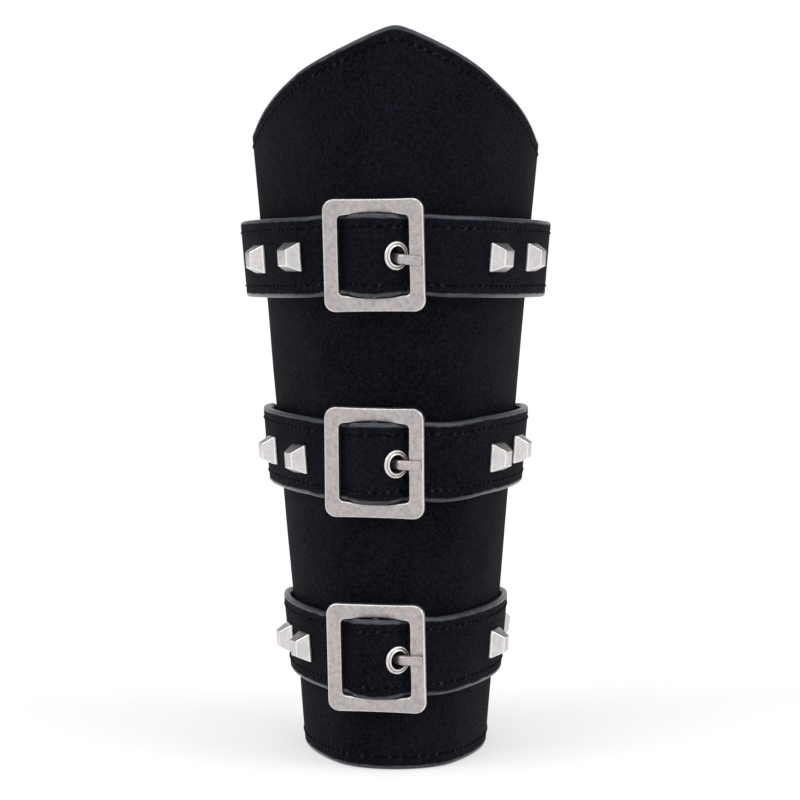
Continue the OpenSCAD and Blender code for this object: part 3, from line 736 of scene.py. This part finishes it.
def new_group(name, inputs, outputs):
    tree = bpy.data.node_groups.new(name, "ShaderNodeTree")
    for label, kind, value in inputs:
        tree.interface.new_socket(label, in_out="INPUT", socket_type=kind).default_value = value
    for label, kind in outputs:
        tree.interface.new_socket(label, in_out="OUTPUT", socket_type=kind)
    nodes = Nodes(tree)
    return tree, nodes, nodes.add("NodeGroupInput").outputs, nodes.add("NodeGroupOutput").inputs


def leather_group():
    """Mottled nap: two colours, a fine grain, a roughness that follows both, and painted highlights along a
    seam: pale glints where the rims of the stitch dents would catch the light.
    """
    tree, g, given, out = new_group(
        "leather_nap",
        [("Dark", COLOUR, (0.01, 0.01, 0.012, 1)), ("Light", COLOUR, (0.03, 0.03, 0.036, 1)),
         ("Grain", NUMBER, 1.0), ("Cloud", NUMBER, 1.0), ("Seam glint", NUMBER, 1.6)],
        [("Colour", COLOUR), ("Roughness", NUMBER), ("Height", NUMBER)])
    where = g.here()
    clouds = g.noise(where, 55, 4, 0.6)
    patches = g.noise(where, 18, 2, 0.5)
    nap = g.noise(where, 900, 4, 0.68)
    pores = g.add("ShaderNodeTexVoronoi", feature="F1")
    pores.inputs["Scale"].default_value = 900
    g.link(where, pores.inputs["Vector"])
    tone = g.math("ADD", g.stretch(clouds, 0.3, 0.7, 0.08, 0.33), g.stretch(patches, 0.35, 0.65, 0.08, 0.33))
    tone = g.math("MULTIPLY", tone, given["Cloud"])
    speck = g.stretch(nap, 0.3, 0.7, -0.6, 0.65)
    level = g.math("ADD", tone, g.math("MULTIPLY", speck, given["Grain"]))
    base = g.mix(g.stretch(level, 0.0, 1.1), given["Dark"], given["Light"])
    # Painted highlight: pale glints along the seam rows, broken up by noise, stand in for the light caught by
    # the rims of the stitch dents.
    seam_glint = g.math("MULTIPLY", g.attribute("seam"), g.stretch(g.noise(where, 420, 2, 0.5), 0.46, 0.62))
    seam_glint = g.stretch(g.math("MULTIPLY", seam_glint, given["Seam glint"]), 0, 2)
    g.link(g.mix(seam_glint, base, (0.045, 0.048, 0.06, 1)), out["Colour"])
    g.link(g.stretch(level, 0, 1, 0.86, 0.72), out["Roughness"])
    height = g.math("ADD", g.math("MULTIPLY", nap, 0.6), g.math("MULTIPLY", pores.outputs["Distance"], 0.5))
    g.link(g.math("MULTIPLY", height, given["Grain"]), out["Height"])
    return tree


def edge_group():
    """Painted edge: 1 on the band beside an edge, fading where the paint ends, and the paint's smears."""
    tree, g, given, out = new_group(
        "painted_edge",
        [("Width", NUMBER, 1.05), ("Fade", NUMBER, 0.6)],
        [("Mask", NUMBER), ("Smear", NUMBER)])
    where = g.here()
    wander = g.stretch(g.noise(where, 220, 2, 0.5), 0.3, 0.7, -0.22, 0.22)
    far = g.math("SUBTRACT", g.math("ADD", g.attribute("rim"), wander), given["Width"])
    clamp = g.add("ShaderNodeClamp")
    g.link(g.math("SUBTRACT", 1.0, g.math("DIVIDE", far, given["Fade"])), clamp.inputs["Value"])
    g.link(clamp.outputs["Result"], out["Mask"])
    g.link(g.stretch(g.noise(where, 420, 3, 0.6), 0.3, 0.7), out["Smear"])
    return tree


def cast_group():
    """Antiqued casting: soft warm and cool clouds, fine dark specks, and edges polished by wear."""
    tree, g, given, out = new_group(
        "antique_cast",
        [("Warm", COLOUR, (0.5, 0.46, 0.43, 1)), ("Cool", COLOUR, (0.46, 0.44, 0.48, 1)),
         ("Stain", COLOUR, (0.12, 0.11, 0.11, 1)), ("Bright", COLOUR, (0.9, 0.88, 0.86, 1)),
         ("Wear", NUMBER, 0.5)],
        [("Colour", COLOUR), ("Roughness", NUMBER), ("Height", NUMBER)])
    where = g.here()
    clouds = g.noise(where, 210, 3, 0.6)
    fine = g.noise(where, 640, 4, 0.62)
    pits = g.noise(where, 1300, 4, 0.65)
    base = g.mix(g.stretch(clouds, 0.35, 0.65), given["Warm"], given["Cool"])
    specks = g.math("ADD", g.stretch(fine, 0.42, 0.78), g.stretch(pits, 0.5, 0.8, 0, 0.5))
    specks = g.math("MULTIPLY", specks, given["Wear"])
    base = g.mix(specks, base, given["Stain"])
    worn = g.math("MULTIPLY", g.attribute("polish"), g.stretch(fine, 0.3, 0.6, 1.0, 0.75))
    g.link(g.mix(worn, base, given["Bright"]), out["Colour"])
    rough = g.math("ADD", g.stretch(clouds, 0.3, 0.7, 0.33, 0.4), g.math("MULTIPLY", specks, 0.2))
    g.link(g.math("SUBTRACT", rough, g.math("MULTIPLY", worn, 0.08)), out["Roughness"])
    g.link(g.math("ADD", g.math("MULTIPLY", pits, 0.5), fine), out["Height"])
    return tree


def new_material(name, **fixed):
    """A material with its Principled BSDF; fixed values go straight on the shader's sockets."""
    mat = bpy.data.materials.new(name)
    mat.use_nodes = True
    shader = mat.node_tree.nodes["Principled BSDF"]
    for label, value in fixed.items():
        shader.inputs[label.replace("_", " ")].default_value = value
    return mat, Nodes(mat.node_tree), shader


LEATHER_NAP, PAINTED_EDGE, ANTIQUE_CAST = leather_group(), edge_group(), cast_group()
NAP_SHINE = 0.06
PAINT_SHINE = 0.6
PAINT_ROUGH = 0.36


def leather_material(name, dark, light, paint, grain=1.0):
    """Nubuck with painted edges, which shine like a thin coat; the paint has a dark and a light colour."""
    mat, nodes, shader = new_material(name, Specular_IOR_Level=NAP_SHINE, Coat_Roughness=PAINT_ROUGH)
    nap = nodes.place(LEATHER_NAP, Dark=dark, Light=light, Grain=grain)
    edge = nodes.place(PAINTED_EDGE)
    mask, smear = edge["Mask"], edge["Smear"]
    rough = nodes.mix(mask, nap["Roughness"], nodes.stretch(smear, 0, 1, 0.3, 0.42))
    nodes.link(nodes.mix(mask, nap["Colour"], nodes.mix(smear, *paint)), shader.inputs["Base Color"])
    nodes.link(rough, shader.inputs["Roughness"])
    nodes.link(nodes.math("MULTIPLY", mask, PAINT_SHINE), shader.inputs["Coat Weight"])
    nodes.bump(shader, nodes.math("MULTIPLY", nap["Height"], nodes.stretch(mask, 0, 1, 1, 0.35)), 0.00022)
    return mat


def metal_material(name, warm, cool, wear, bump=0.00008):
    mat, nodes, shader = new_material(name, Metallic=1.0)
    cast = nodes.place(ANTIQUE_CAST, Warm=warm, Cool=cool, Wear=wear)
    nodes.link(cast["Colour"], shader.inputs["Base Color"])
    nodes.link(cast["Roughness"], shader.inputs["Roughness"])
    nodes.bump(shader, cast["Height"], bump)
    return mat


def thread_material():
    mat, nodes, shader = new_material("waxed_thread", Specular_IOR_Level=0.04)
    strand = nodes.noise(nodes.here(), 2600, 2, 0.5)
    nodes.link(nodes.mix(strand, (0.0004, 0.0004, 0.0009, 1), (0.0024, 0.0026, 0.0045, 1)),
               shader.inputs["Base Color"])
    nodes.link(nodes.stretch(strand, 0.3, 0.7, 0.5, 0.62), shader.inputs["Roughness"])
    nodes.bump(shader, strand, 0.0002)
    return mat


BLACK = leather_material("black_nubuck", (0.0008, 0.0009, 0.002, 1), (0.0092, 0.0099, 0.0165, 1),
                         paint=((0.025, 0.028, 0.039, 1), (0.062, 0.067, 0.086, 1)))
LINING = leather_material("lining_leather", (0.014, 0.0125, 0.0115, 1), (0.042, 0.037, 0.034, 1),
                          paint=((0.014, 0.014, 0.016, 1), (0.03, 0.029, 0.031, 1)), grain=1.4)
THREAD = thread_material()
PEWTER = metal_material("antique_pewter", (0.53, 0.475, 0.46, 1), (0.465, 0.435, 0.445, 1), 0.46)
STUD_METAL = metal_material("bright_pewter", (0.72, 0.68, 0.66, 1), (0.63, 0.615, 0.63, 1), 0.22)
STEEL = metal_material("dull_steel", (0.42, 0.41, 0.4, 1), (0.38, 0.38, 0.4, 1), 0.3, 0.00005)


# The shell

def shell_turns(edge):
    """Turns of the columns from the left back edge round the front to the right back edge."""
    corner = [-edge + math.degrees(SHELL_CORNER * (1 - cos_d(t)) / r_back(0))
              for t in spread(0, 90, SHELL_CORNER_STEP)]
    half = corner + spread(corner[-1], -SIDE_TURN - SIDE_SKIP, WIDE_STEP)[1:]
    half += spread(-SIDE_TURN + SIDE_SKIP, -FRONT_TURN, SIDE_STEP)
    half += spread(-FRONT_TURN, -POINT_TURN, WIDE_STEP)[1:]
    return half + spread(-POINT_TURN, POINT_TURN, 1)[1:-1] + [-turn for turn in reversed(half)]


def top_normal(turn, z):
    """Inward normal of the top edge, away from the rounded corners."""
    rise = (top_z(turn + 1) - top_z(turn - 1)) / (math.radians(2) * radius_at(turn, z))
    return tuple(Vector((rise, -1)).normalized())


def shell_columns(inset):
    edge = EDGE_TURN - math.degrees(inset / r_back(0))
    columns = []
    for turn in shell_turns(edge):
        s = math.radians(edge - abs(turn)) * r_back(0)
        way = -math.copysign(1, turn)
        low = inset + corner_drop(s, SHELL_CORNER / 2)
        high = top_z(turn) - inset - corner_drop(s, SHELL_CORNER)
        n_low, n_high = corner_normal(s, SHELL_CORNER / 2, 1), corner_normal(s, SHELL_CORNER, -1)
        n_low, n_high = (n_low[0] * way, n_low[1]), (n_high[0] * way, n_high[1])
        if s >= SHELL_CORNER:
            n_high = top_normal(turn, high)
        columns.append((("wall", turn), low, high, n_low, n_high))
    return columns


def slide_shell(station, distance):
    kind, turn = station
    return kind, turn + math.degrees(distance / radius_at(turn, SHOULDER_Z / 2))


def place_shell(depth_from):
    def place(station, z, depth):
        point = plan_at(station[1], z, -(depth_from + depth))
        return point + outward(station[1]) * waver(point, *SHELL_WAVER)
    return place


def make_shell():
    outer = Sheet(shell_columns(0), place_shell(0), slide_shell, SHELL_T, SHELL_EDGE_R, seam=SHELL_SEAM)
    skin = make_object("shell", outer.verts, outer.faces, BLACK, rim=outer.rim, seam=outer.pressed)
    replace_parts(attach(face_outwards(skin), "bracer"), "shell_outer")
    lining = Sheet(shell_columns(LINING_INSET), place_shell(SHELL_T + GLUE), slide_shell, LINING_T,
                   LINING_EDGE_R)
    inside = make_object("lining", lining.verts, lining.faces, LINING, rim=lining.rim)
    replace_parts(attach(face_outwards(inside), "bracer"), "shell_lining")
    corner = len(spread(0, 90, SHELL_CORNER_STEP)) + 2
    lines = [outer.seam_line(side, SHELL_SEAM, corner, len(outer.columns) - corner) for side in (0, 1)]
    seam = sew("shell_stitches", lines, SHELL_STITCH, random.Random(3))
    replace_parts(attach(seam, "bracer"), "shell_stitching")


# Straps and tails

def back_r(level):
    return r_back(STRAP_Z[level]) + BACK_OUT


def strap_slide(level):
    def slide(station, distance):
        kind, s = station
        if kind != "wall" or distance == 0:
            return station
        return kind, s + math.degrees(distance / back_r(level))
    return slide


def band_columns(level, stations, corner, end, way):
    """Columns of a strap whose long edges are level, rounded at the end at one turn; way leads inwards."""
    z, columns = STRAP_Z[level], []
    for station in stations:
        h = half_band(level, station)
        drop, c, up = 0, 0, 1
        s = abs(math.radians(station[1] - end)) * back_r(level)
        if station[0] == "wall" and s < corner:
            drop = corner_drop(s, corner)
            c, up = corner_normal(s, corner, 1)
        columns.append((station, z - h + drop, z + h - drop, (way * c, up), (way * c, -up)))
    return columns


def end_steps(level, corner):
    return [math.degrees(corner * (1 - cos_d(t)) / back_r(level)) for t in spread(0, 90, STRAP_CORNER_STEP)]


def front_stations(level):
    """Stations of the strap from the end of the left foot to the end of the right foot."""
    t = foot_turn(level)
    left = [("foot", angle) for angle in spread(-t, -FLANK, WIDE_STEP)]
    right = [("foot", angle) for angle in spread(FLANK, t, WIDE_STEP)]
    return left + [("bulge", u) for u in spread(-FOOT_U, FOOT_U, BULGE_STEP)[1:-1]] + right


def strap_stations(level):
    """Stations of a strap from its cut end on the left to its join with the tail."""
    left_foot = BUCKLE_TURN[level] - foot_angle(level)
    right_foot = BUCKLE_TURN[level] + foot_angle(level)
    left = [-CUT_TURN + step for step in end_steps(level, CUT_CORNER)]
    left += spread(left[-1], -SIDE_TURN - SIDE_SKIP, STRAP_STEP)[1:]
    left += spread(-SIDE_TURN + SIDE_SKIP, -FRONT_TURN, SIDE_STEP)
    left += spread(-FRONT_TURN, left_foot, STRAP_STEP)[1:-1]
    right = spread(right_foot, FRONT_TURN, STRAP_STEP)[1:-1]
    right += spread(FRONT_TURN, SIDE_TURN - SIDE_SKIP, SIDE_STEP)
    right += spread(SIDE_TURN + SIDE_SKIP, JOIN_TURN, STRAP_STEP)
    return [("wall", turn) for turn in left] + front_stations(level) + [("wall", turn) for turn in right]


def tail_stations(level):
    """Stations of a tail; none lies right at the back, where the turn changes its sign."""
    near = [TAIL_END - step for step in end_steps(level, TAIL_CORNER)][::-1]
    turns = spread(JOIN_TURN, near[0], STRAP_STEP)[:-1] + near
    return [("wall", turn) for turn in turns if abs(turn - 180) > 0.01]


def place_strap(level):
    def place(station, z, depth):
        point = strap_at(level, station, z, depth)
        if station[0] == "wall":
            way = (point - strap_at(level, station, z, depth + 1)).normalized()
            point = point + way * waver(point + Vector((90, 0, 0)), *STRAP_WAVER)
        return point
    return place


def make_band(name, level, stations, corner, end, way):
    """Leather of a strap or a tail, with its sheet for the seams."""
    columns = band_columns(level, stations, corner, end, way)
    band = Sheet(columns, place_strap(level), strap_slide(level), STRAP_T, STRAP_EDGE_R,
                 glue_at=STRAP_GLUE_AT, seam=STRAP_SEAM, row_step=3)
    obj = make_object(name, band.verts, band.faces, BLACK, rim=band.rim, seam=band.pressed)
    return face_outwards(obj), band


def hole_cutter(level):
    bm = bmesh.new()
    bmesh.ops.create_cone(bm, cap_ends=True, segments=40, radius1=BARREL_R, radius2=BARREL_R, depth=9)
    bm.transform(eyelet_frame(level) @ Matrix.Translation((0, 2, 0)) @ Matrix.Rotation(math.pi / 2, 4, "X"))
    bm.transform(Matrix.Scale(MM, 4))
    return object_from(bm, "cutter")


def make_strap(level):
    name = LEVELS[level]
    obj, band = make_band(name + "_belt", level, strap_stations(level), CUT_CORNER, -CUT_TURN, 1)
    cut_with(obj, hole_cutter(level))
    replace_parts(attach(obj, "bracer"), name + "_strap", name + "_strap_backing")
    first = len(end_steps(level, CUT_CORNER)) + 1
    lines = [band.seam_line(side, STRAP_SEAM, first, len(band.columns) - 1) for side in (0, 1)]
    seam = sew(name + "_stitches", lines, STRAP_STITCH, random.Random(11 + level))
    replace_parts(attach(seam, "bracer"), name + "_strap_stitching")


def make_tail(level):
    name = LEVELS[level]
    obj, band = make_band(name + "_tongue", level, tail_stations(level), TAIL_CORNER, TAIL_END, -1)
    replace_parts(obj, name + "_tail", name + "_tail_backing")
    last = len(band.columns) - len(end_steps(level, TAIL_CORNER))
    lines = [band.seam_line(side, STRAP_SEAM, 1, last) for side in (0, 1)]
    seam = sew(name + "_tongue_stitches", lines, STRAP_STITCH, random.Random(21 + level))
    start, end = (strap_at(level, ("wall", turn), STRAP_Z[level], STRAP_T / 2) * MM
                  for turn in (ROOT_TURN - ROOT_BEND, ROOT_TURN + ROOT_BEND))
    for piece in (obj, seam):
        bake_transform(piece)


# Buckle frames and prongs

def lathe(profile, matrix, sides=LATHE_SIDES):
    """Closed ring turned from (radius, height) pairs, its axis along the frame's -Y."""
    verts = [matrix @ Vector((r * c, -h, r * s)) for r, h in profile for c, s in circle(sides)]
    return verts, ring_faces(len(profile), sides, closed=True)


def rounded_loop(w, h, r, bow, corner_n=7, side_n=12):
    """Points round a rectangle of half sizes w and h; bow moves the middle of its level sides outwards."""
    points = []
    for cx, cy, start in ((1, 1, 0), (-1, 1, 90), (-1, -1, 180), (1, -1, 270)):
        for i in range(corner_n + 1):
            t = start + 90 * i / corner_n
            points.append((cx * (w - r) + r * cos_d(t), cy * (h - r) + r * sin_d(t)))
        x0, y0 = points[-1]
        level_side = start in (0, 180)
        x1, y1 = (-cx * (w - r), cy * h) if level_side else (cx * w, -cy * (h - r))
        for i in range(1, side_n):
            t = i / side_n
            x, y = x0 + (x1 - x0) * t, y0 + (y1 - y0) * t
            if level_side:
                y += math.copysign(1, y) * bow * (1 - (x / (w - r)) ** 2)
            points.append((x, y))
    return points


# Section of a frame bar: distance in from its edge, height above the back, and polish
BAR_EDGE = [(0.35, 0, 0), (0.08, 0.12, 0.4), (0, 0.4, 0.2), (0, FRAME_T - 0.7, 0.3),
            (0.05, FRAME_T - 0.42, 0.7), (0.18, FRAME_T - 0.17, 1), (0.36, FRAME_T - 0.04, 0.7),
            (0.5, FRAME_T, 0.15), (0.85, FRAME_T + 0.02, 0), (1.5, FRAME_T + 0.05, 0)]
CROWN = FRAME_T + 0.08


def frame_ring():
    """Cast frame in its own plane, X along, Z up and -Y towards the viewer, and the polish of its points."""
    outer = rounded_loop(FRAME_W / 2, FRAME_H / 2, FRAME_CORNER, -FRAME_WAIST)
    inner = rounded_loop(FRAME_W / 2 - SIDE_BAR, OPENING_H / 2, OPENING_CORNER, OPENING_ARCH)
    verts, polish = [], []
    for o, i in zip(outer, inner):
        o, i = Vector(o), Vector(i)
        way = (i - o).normalized()
        section = [(o + way * d, v, shine) for d, v, shine in BAR_EDGE]
        section += [((o + i) / 2, CROWN, 0)]
        section += [(i - way * d, v, shine) for d, v, shine in reversed(BAR_EDGE)]
        verts += [Vector((p[0], -v, p[1])) for p, v, _ in section]
        polish += [shine for _, _, shine in section]
    return verts, ring_faces(len(outer), 2 * len(BAR_EDGE) + 1, closed=True), polish


def centre_bar(reach, sides=24):
    """Upright round bar, a little thinner in the middle, from -reach to reach."""
    rings = [(-1, 0.0), (-1, 1), (-0.5, 0.96), (0, 0.94), (0.5, 0.96), (1, 1), (1, 0.0)]
    verts = []
    for z, k in rings:
        verts += [Vector((BAR_R * k * c, BAR_R * k * s - BAR_LIFT, reach * z)) for c, s in circle(sides)]
    return verts, ring_faces(len(rings), sides)


def make_frame(level):
    name = LEVELS[level]
    ring_verts, faces, polish = frame_ring()
    verts, faces = join_parts((ring_verts, faces), centre_bar(OPENING_H / 2 + OPENING_ARCH + 1))
    polish += [0.0] * (len(verts) - len(polish))
    at = buckle_frame(level) @ Matrix.Rotation(math.radians(FRAME_ROLL[level]), 4, "Y")
    obj = make_object(name + "_frame", [at @ v for v in verts], faces, PEWTER, polish=polish, sharp=60)
    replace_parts(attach(face_outwards(obj), name + "_buckle"), name + "_buckle_frame")


def smooth_line(points, steps):
    """Smooth curve through the points."""
    points = [points[0]] + points + [points[-1]]
    line = []
    for i in range(1, len(points) - 2):
        p0, p1, p2, p3 = (Vector(p) for p in points[i - 1:i + 3])
        for k in range(steps):
            t = k / steps
            line.append(0.5 * ((2 * p1) + (p2 - p0) * t + (2 * p0 - 5 * p1 + 4 * p2 - p3) * t * t
                               + (3 * p1 - p0 - 3 * p2 + p3) * t ** 3))
    return line + [Vector(points[-1])]


SEAT_V = FRAME_T + GLUE + PRONG_T / 2
PRONG_LINE = [(BAR_R + 0.4, BAR_LIFT - 0.4), (4.6, 0.35), (6.6, 1.5), (8.4, 2.85), (10.0, SEAT_V - 0.1),
              (11.7, SEAT_V), (PRONG_END, SEAT_V)]


def prong_body(level, sides=20):
    """Bent prong: round where it leaves the hole, flatter and narrower on its seat, cut square."""
    line = smooth_line(PRONG_LINE, 5)
    last = len(line) - 1
    verts = []
    for i, p in enumerate(line):
        way = (line[min(i + 1, last)] - line[max(i - 1, 0)]).normalized()
        up = Vector((-way[1], way[0]))
        seat = ease((p[0] - HOLE_U - 2.2) / 2.0)
        half_h = PRONG_T / 2 * (1.04 - 0.1 * seat)
        half_b = PRONG_W / 2 * (1.0 - 0.04 * seat)
        squareness = 3.0 + 2.4 * seat
        shrink, past = (0.86, 0.12) if i == last else (1, 0)
        for k in range(sides):
            c, s = cos_d(360 * k / sides), sin_d(360 * k / sides)
            c = math.copysign(abs(c) ** (2 / squareness), c) * half_b * shrink
            s = math.copysign(abs(s) ** (2 / squareness), s) * half_h * shrink
            q = p + up * (s + 0.05 * seat)
            verts.append(Vector((q[0] + past, -q[1], c)))
    ends = [tuple(range(sides)), tuple(range(last * sides + sides - 1, last * sides - 1, -1))]
    fall = Matrix.Rotation(math.radians(PRONG_FALL[level]), 4, "Y")
    return [fall @ v for v in verts], ring_faces(len(line), sides) + ends


def prong_ring():
    """Ring of the prong round the centre bar."""
    w, r0, r1 = PRONG_W / 2, BAR_R + 0.08, RING_R
    section = [(r0, -w + 0.1), (r0, w - 0.1), (r0 + 0.12, w), (r1 - 0.25, w), (r1, w - 0.25), (r1, -w + 0.25),
               (r1 - 0.25, -w), (r0 + 0.12, -w)]
    return lathe(section, Matrix.Translation((0, -BAR_LIFT, 0)) @ Matrix.Rotation(math.pi / 2, 4, "X"), 32)


def make_prong(level):
    name = LEVELS[level]
    verts, faces = join_parts(prong_ring(), prong_body(level))
    at = buckle_frame(level)
    obj = make_object(name + "_tongue_pin", [at @ v for v in verts], faces, PEWTER, sharp=50)
    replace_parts(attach(face_outwards(obj), name + "_prong_body"), name + "_prong")


# Eyelets, studs and loops

# Face of an eyelet from the hole outwards: radius, height above the strap, and polish
EYELET_FACE = [(HOLE_R, BARREL_END, 0), (HOLE_R, 0.3, 0), (HOLE_R + 0.06, 0.7, 0.5), (HOLE_R + 0.22, 0.98, 1),
               (HOLE_R + 0.45, 1.05, 1), (HOLE_R + 0.68, 0.95, 1), (HOLE_R + 0.82, 0.66, 0.6),
               (HOLE_R + 0.92, 0.42, 0), (HOLE_R + 1.05, 0.4, 0), (HOLE_R + 1.16, 0.66, 0.3),
               (HOLE_R + 1.34, 0.84, 0.8), (FLANGE_R - 0.42, 0.86, 0.8), (FLANGE_R - 0.2, 0.68, 0.8),
               (FLANGE_R - 0.04, 0.36, 0.3), (FLANGE_R, 0.12, 0), (FLANGE_R - 0.1, 0.02, 0),
               (BARREL_R, 0.02, 0), (BARREL_R, BARREL_END, 0)]


def make_eyelet(level):
    name = LEVELS[level]
    verts, faces = lathe([(r, h) for r, h, _ in EYELET_FACE], eyelet_frame(level))
    polish = [shine for _, _, shine in EYELET_FACE for _ in range(LATHE_SIDES)]
    obj = make_object(name + "_ring", verts, faces, PEWTER, polish=polish, sharp=60)
    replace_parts(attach(face_outwards(obj), "bracer"), name + "_eyelet")


def stud_mesh():
    """Square pyramid with a cut tip and bevelled edges, which are polished."""
    base, tip = STUD_BASE / 2, STUD_TOP / 2
    bm = bmesh.new()
    rings = []
    for s, h in ((base, STUD_FOOT), (base, STUD_SKIRT), (tip, STUD_H)):
        rings.append([bm.verts.new((x * s, -h, z * s)) for x, z in ((-1, -1), (1, -1), (1, 1), (-1, 1))])
    bm.faces.new(rings[0])
    bm.faces.new(rings[2][::-1])
    for low, high in zip(rings, rings[1:]):
        for i in range(4):
            k = (i + 1) % 4
            bm.faces.new((low[i], low[k], high[k], high[i]))
    edges = [e for e in bm.edges if e.verts[0] not in rings[0] or e.verts[1] not in rings[0]]
    bmesh.ops.bevel(bm, geom=edges, offset=STUD_BEVEL, segments=4, profile=0.6, affect="EDGES")
    bmesh.ops.recalc_face_normals(bm, faces=bm.faces)
    bm.verts.index_update()
    verts = [v.co.copy() for v in bm.verts]
    faces = [tuple(v.index for v in f.verts) for f in bm.faces]
    polish = [0.0 if any(f.calc_area() > STUD_FACET for f in v.link_faces) else 1.0 for v in bm.verts]
    bm.free()
    return verts, faces, polish


def make_studs(level):
    name = LEVELS[level]
    shape, shape_faces, polish = stud_mesh()
    rng = random.Random(31 + level)
    parts = []
    for turn, rise in zip(STUD_TURNS[level], STUD_RISE[level]):
        at = wall_frame(turn, STRAP_Z[level], strap_out(level, turn)) @ Matrix.Translation((0, 0, rise))
        at = at @ Matrix.Rotation(math.radians(rng.uniform(-1, 1)), 4, "Y")
        parts.append(([at @ v for v in shape], shape_faces))
    verts, faces = join_parts(*parts)
    obj = make_object(name + "_pyramids", verts, faces, STUD_METAL, polish=polish * len(parts), sharp=35)
    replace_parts(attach(obj, "bracer"), name + "_studs")


def loop_outline(level):
    """Side view of the loop: round the centre bar, then down to a flat foot on the shell."""
    def wall_v(u):
        r = wall_r(level)
        return -FRAME_LIFT[level] - r + math.sqrt(r * r - u * u)
    round_bar = [(RING_R * cos_d(t), BAR_LIFT + RING_R * sin_d(t)) for t in spread(-75, 170, 12)]
    foot_top = [(-4.9, wall_v(4.4) + 1.4), (-9.7, wall_v(10) + 1.3), (-10, wall_v(10) + 0.9)]
    foot_low = [(-10, wall_v(10) + 0.2), (-7.2, wall_v(7.2) + 0.18), (-3.2, wall_v(4.4) + 0.25),
                (-0.6, BAR_LIFT - 2.2)]
    return round_bar + [(-2.4, BAR_LIFT - 0.6)] + foot_top + foot_low


def make_loop(level):
    """Leather loop: one strip on each side of the prong."""
    name = LEVELS[level]
    outline = loop_outline(level)
    n = len(outline)
    parts = []
    for z0, z1 in ((-11, -2.3), (2.3, 11)):
        verts = [Vector((u, -v, z)) for z in (z0, z0 + 0.3, z1 - 0.3, z1) for u, v in outline]
        ends = [tuple(range(n)), tuple(range(4 * n - 1, 3 * n - 1, -1))]
        parts.append((verts, ring_faces(4, n) + ends))
    verts, faces = join_parts(*parts)
    at = buckle_frame(level)
    unpainted = [5.0] * len(verts)
    obj = make_object(name + "_bar_loop", [at @ v for v in verts], faces, LINING, rim=unpainted, sharp=40)
    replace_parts(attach(face_outwards(obj), "bracer"), name + "_loop")


def finish_cad_nodes():
    """The small pressed and turned parts stay as they are and only get their metal."""
    hidden = ("snap_socket", "snap_stud", "snap_post", "stud_screws", "loop_rivets", "eyelet_washer")
    for name in LEVELS:
        for part in ("snap_cap",) + hidden:
            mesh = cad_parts[f"{name}_{part}"].data
            mesh.materials.clear()
            mesh.materials.append(STEEL if part in hidden else PEWTER)


# Floor, light and camera

def shown_rays(nodes):
    """1 for the rays that show the backdrop: straight from the camera, mirrored or let through."""
    path = nodes.add("ShaderNodeLightPath").outputs
    mirrored = nodes.math("MAXIMUM", path["Is Glossy Ray"], path["Is Transmission Ray"])
    return nodes.math("MAXIMUM", path["Is Camera Ray"], mirrored)


def floor_material():
    """Pale floor: a good half of its white is its own, the rest takes the light and the shadow."""
    mat, nodes, shader = new_material("pale_floor", Roughness=0.9, Specular_IOR_Level=0.0)
    shader.inputs["Emission Color"].default_value = WHITE
    seen = shown_rays(nodes)
    nodes.link(nodes.mix(seen, (0.8, 0.8, 0.8, 1), (FLOOR_TAKES,) * 3 + (1,)), shader.inputs["Base Color"])
    nodes.link(nodes.math("MULTIPLY", seen, FLOOR_GIVES), shader.inputs["Emission Strength"])
    return mat


def make_stage():
    bm = bmesh.new()
    bmesh.ops.create_grid(bm, x_segments=4, y_segments=4, size=FLOOR_HALF)
    floor = object_from(bm, "floor")
    floor.data.materials.append(floor_material())
    floor.location = FLOOR_AT


def make_world():
    """White behind the object and before it, with a darker ceiling and dark flags beside the backdrop."""
    world = bpy.data.worlds.new("studio")
    bpy.context.scene.world = world
    world.use_nodes = True
    nodes = Nodes(world.node_tree)
    back = world.node_tree.nodes["Background"]
    back.inputs["Color"].default_value = WHITE
    way = nodes.add("ShaderNodeSeparateXYZ")
    nodes.link(nodes.add("ShaderNodeTexCoord").outputs["Generated"], way.inputs["Vector"])
    ceiling = nodes.stretch(way.outputs["Z"], *CEILING)
    flags = nodes.math("MULTIPLY", nodes.stretch(way.outputs["Y"], *BACKDROP),
                       nodes.stretch(way.outputs["Y"], -0.2, 0.3))
    dark = nodes.math("MAXIMUM", ceiling, flags)
    shown = nodes.math("MULTIPLY", shown_rays(nodes),
                       nodes.stretch(dark, 0, 1, 1 - WORLD_LIGHT, DIMMED - WORLD_LIGHT))
    nodes.link(nodes.math("ADD", WORLD_LIGHT, shown), back.inputs["Strength"])


def add_lamp(name, turn, height, spread_angle, strength):
    """A lamp far away at a turn from the front and a height above the floor."""
    lamp = bpy.data.lights.new(name, "SUN")
    lamp.angle = math.radians(spread_angle)
    lamp.energy = strength
    way = Vector((sin_d(turn) * cos_d(height), -cos_d(turn) * cos_d(height), sin_d(height)))
    add_object(name, lamp).rotation_euler = way.to_track_quat("Z", "Y").to_euler()


def make_lights():
    add_lamp("left_soft", turn=-55, height=35, spread_angle=35, strength=0.9)
    add_lamp("right_soft", turn=60, height=30, spread_angle=35, strength=0.8)
    add_lamp("top_soft", turn=5, height=72, spread_angle=50, strength=1.2)


def make_camera():
    data = bpy.data.cameras.new("camera")
    data.lens, data.sensor_width = CAMERA_LENS, CAMERA_SENSOR
    camera = add_object("camera", data)
    camera.location = CAMERA_AT
    camera.rotation_euler = (math.radians(CAMERA_TILT), 0, 0)
    bpy.context.scene.camera = camera


bpy.context.scene.view_settings.view_transform = "Standard"
make_camera()
make_world()
make_lights()
make_stage()
make_shell()
for step in (make_strap, make_tail, make_frame, make_prong, make_eyelet, make_studs, make_loop):
    for number in range(3):
        step(number)
finish_cad_nodes()
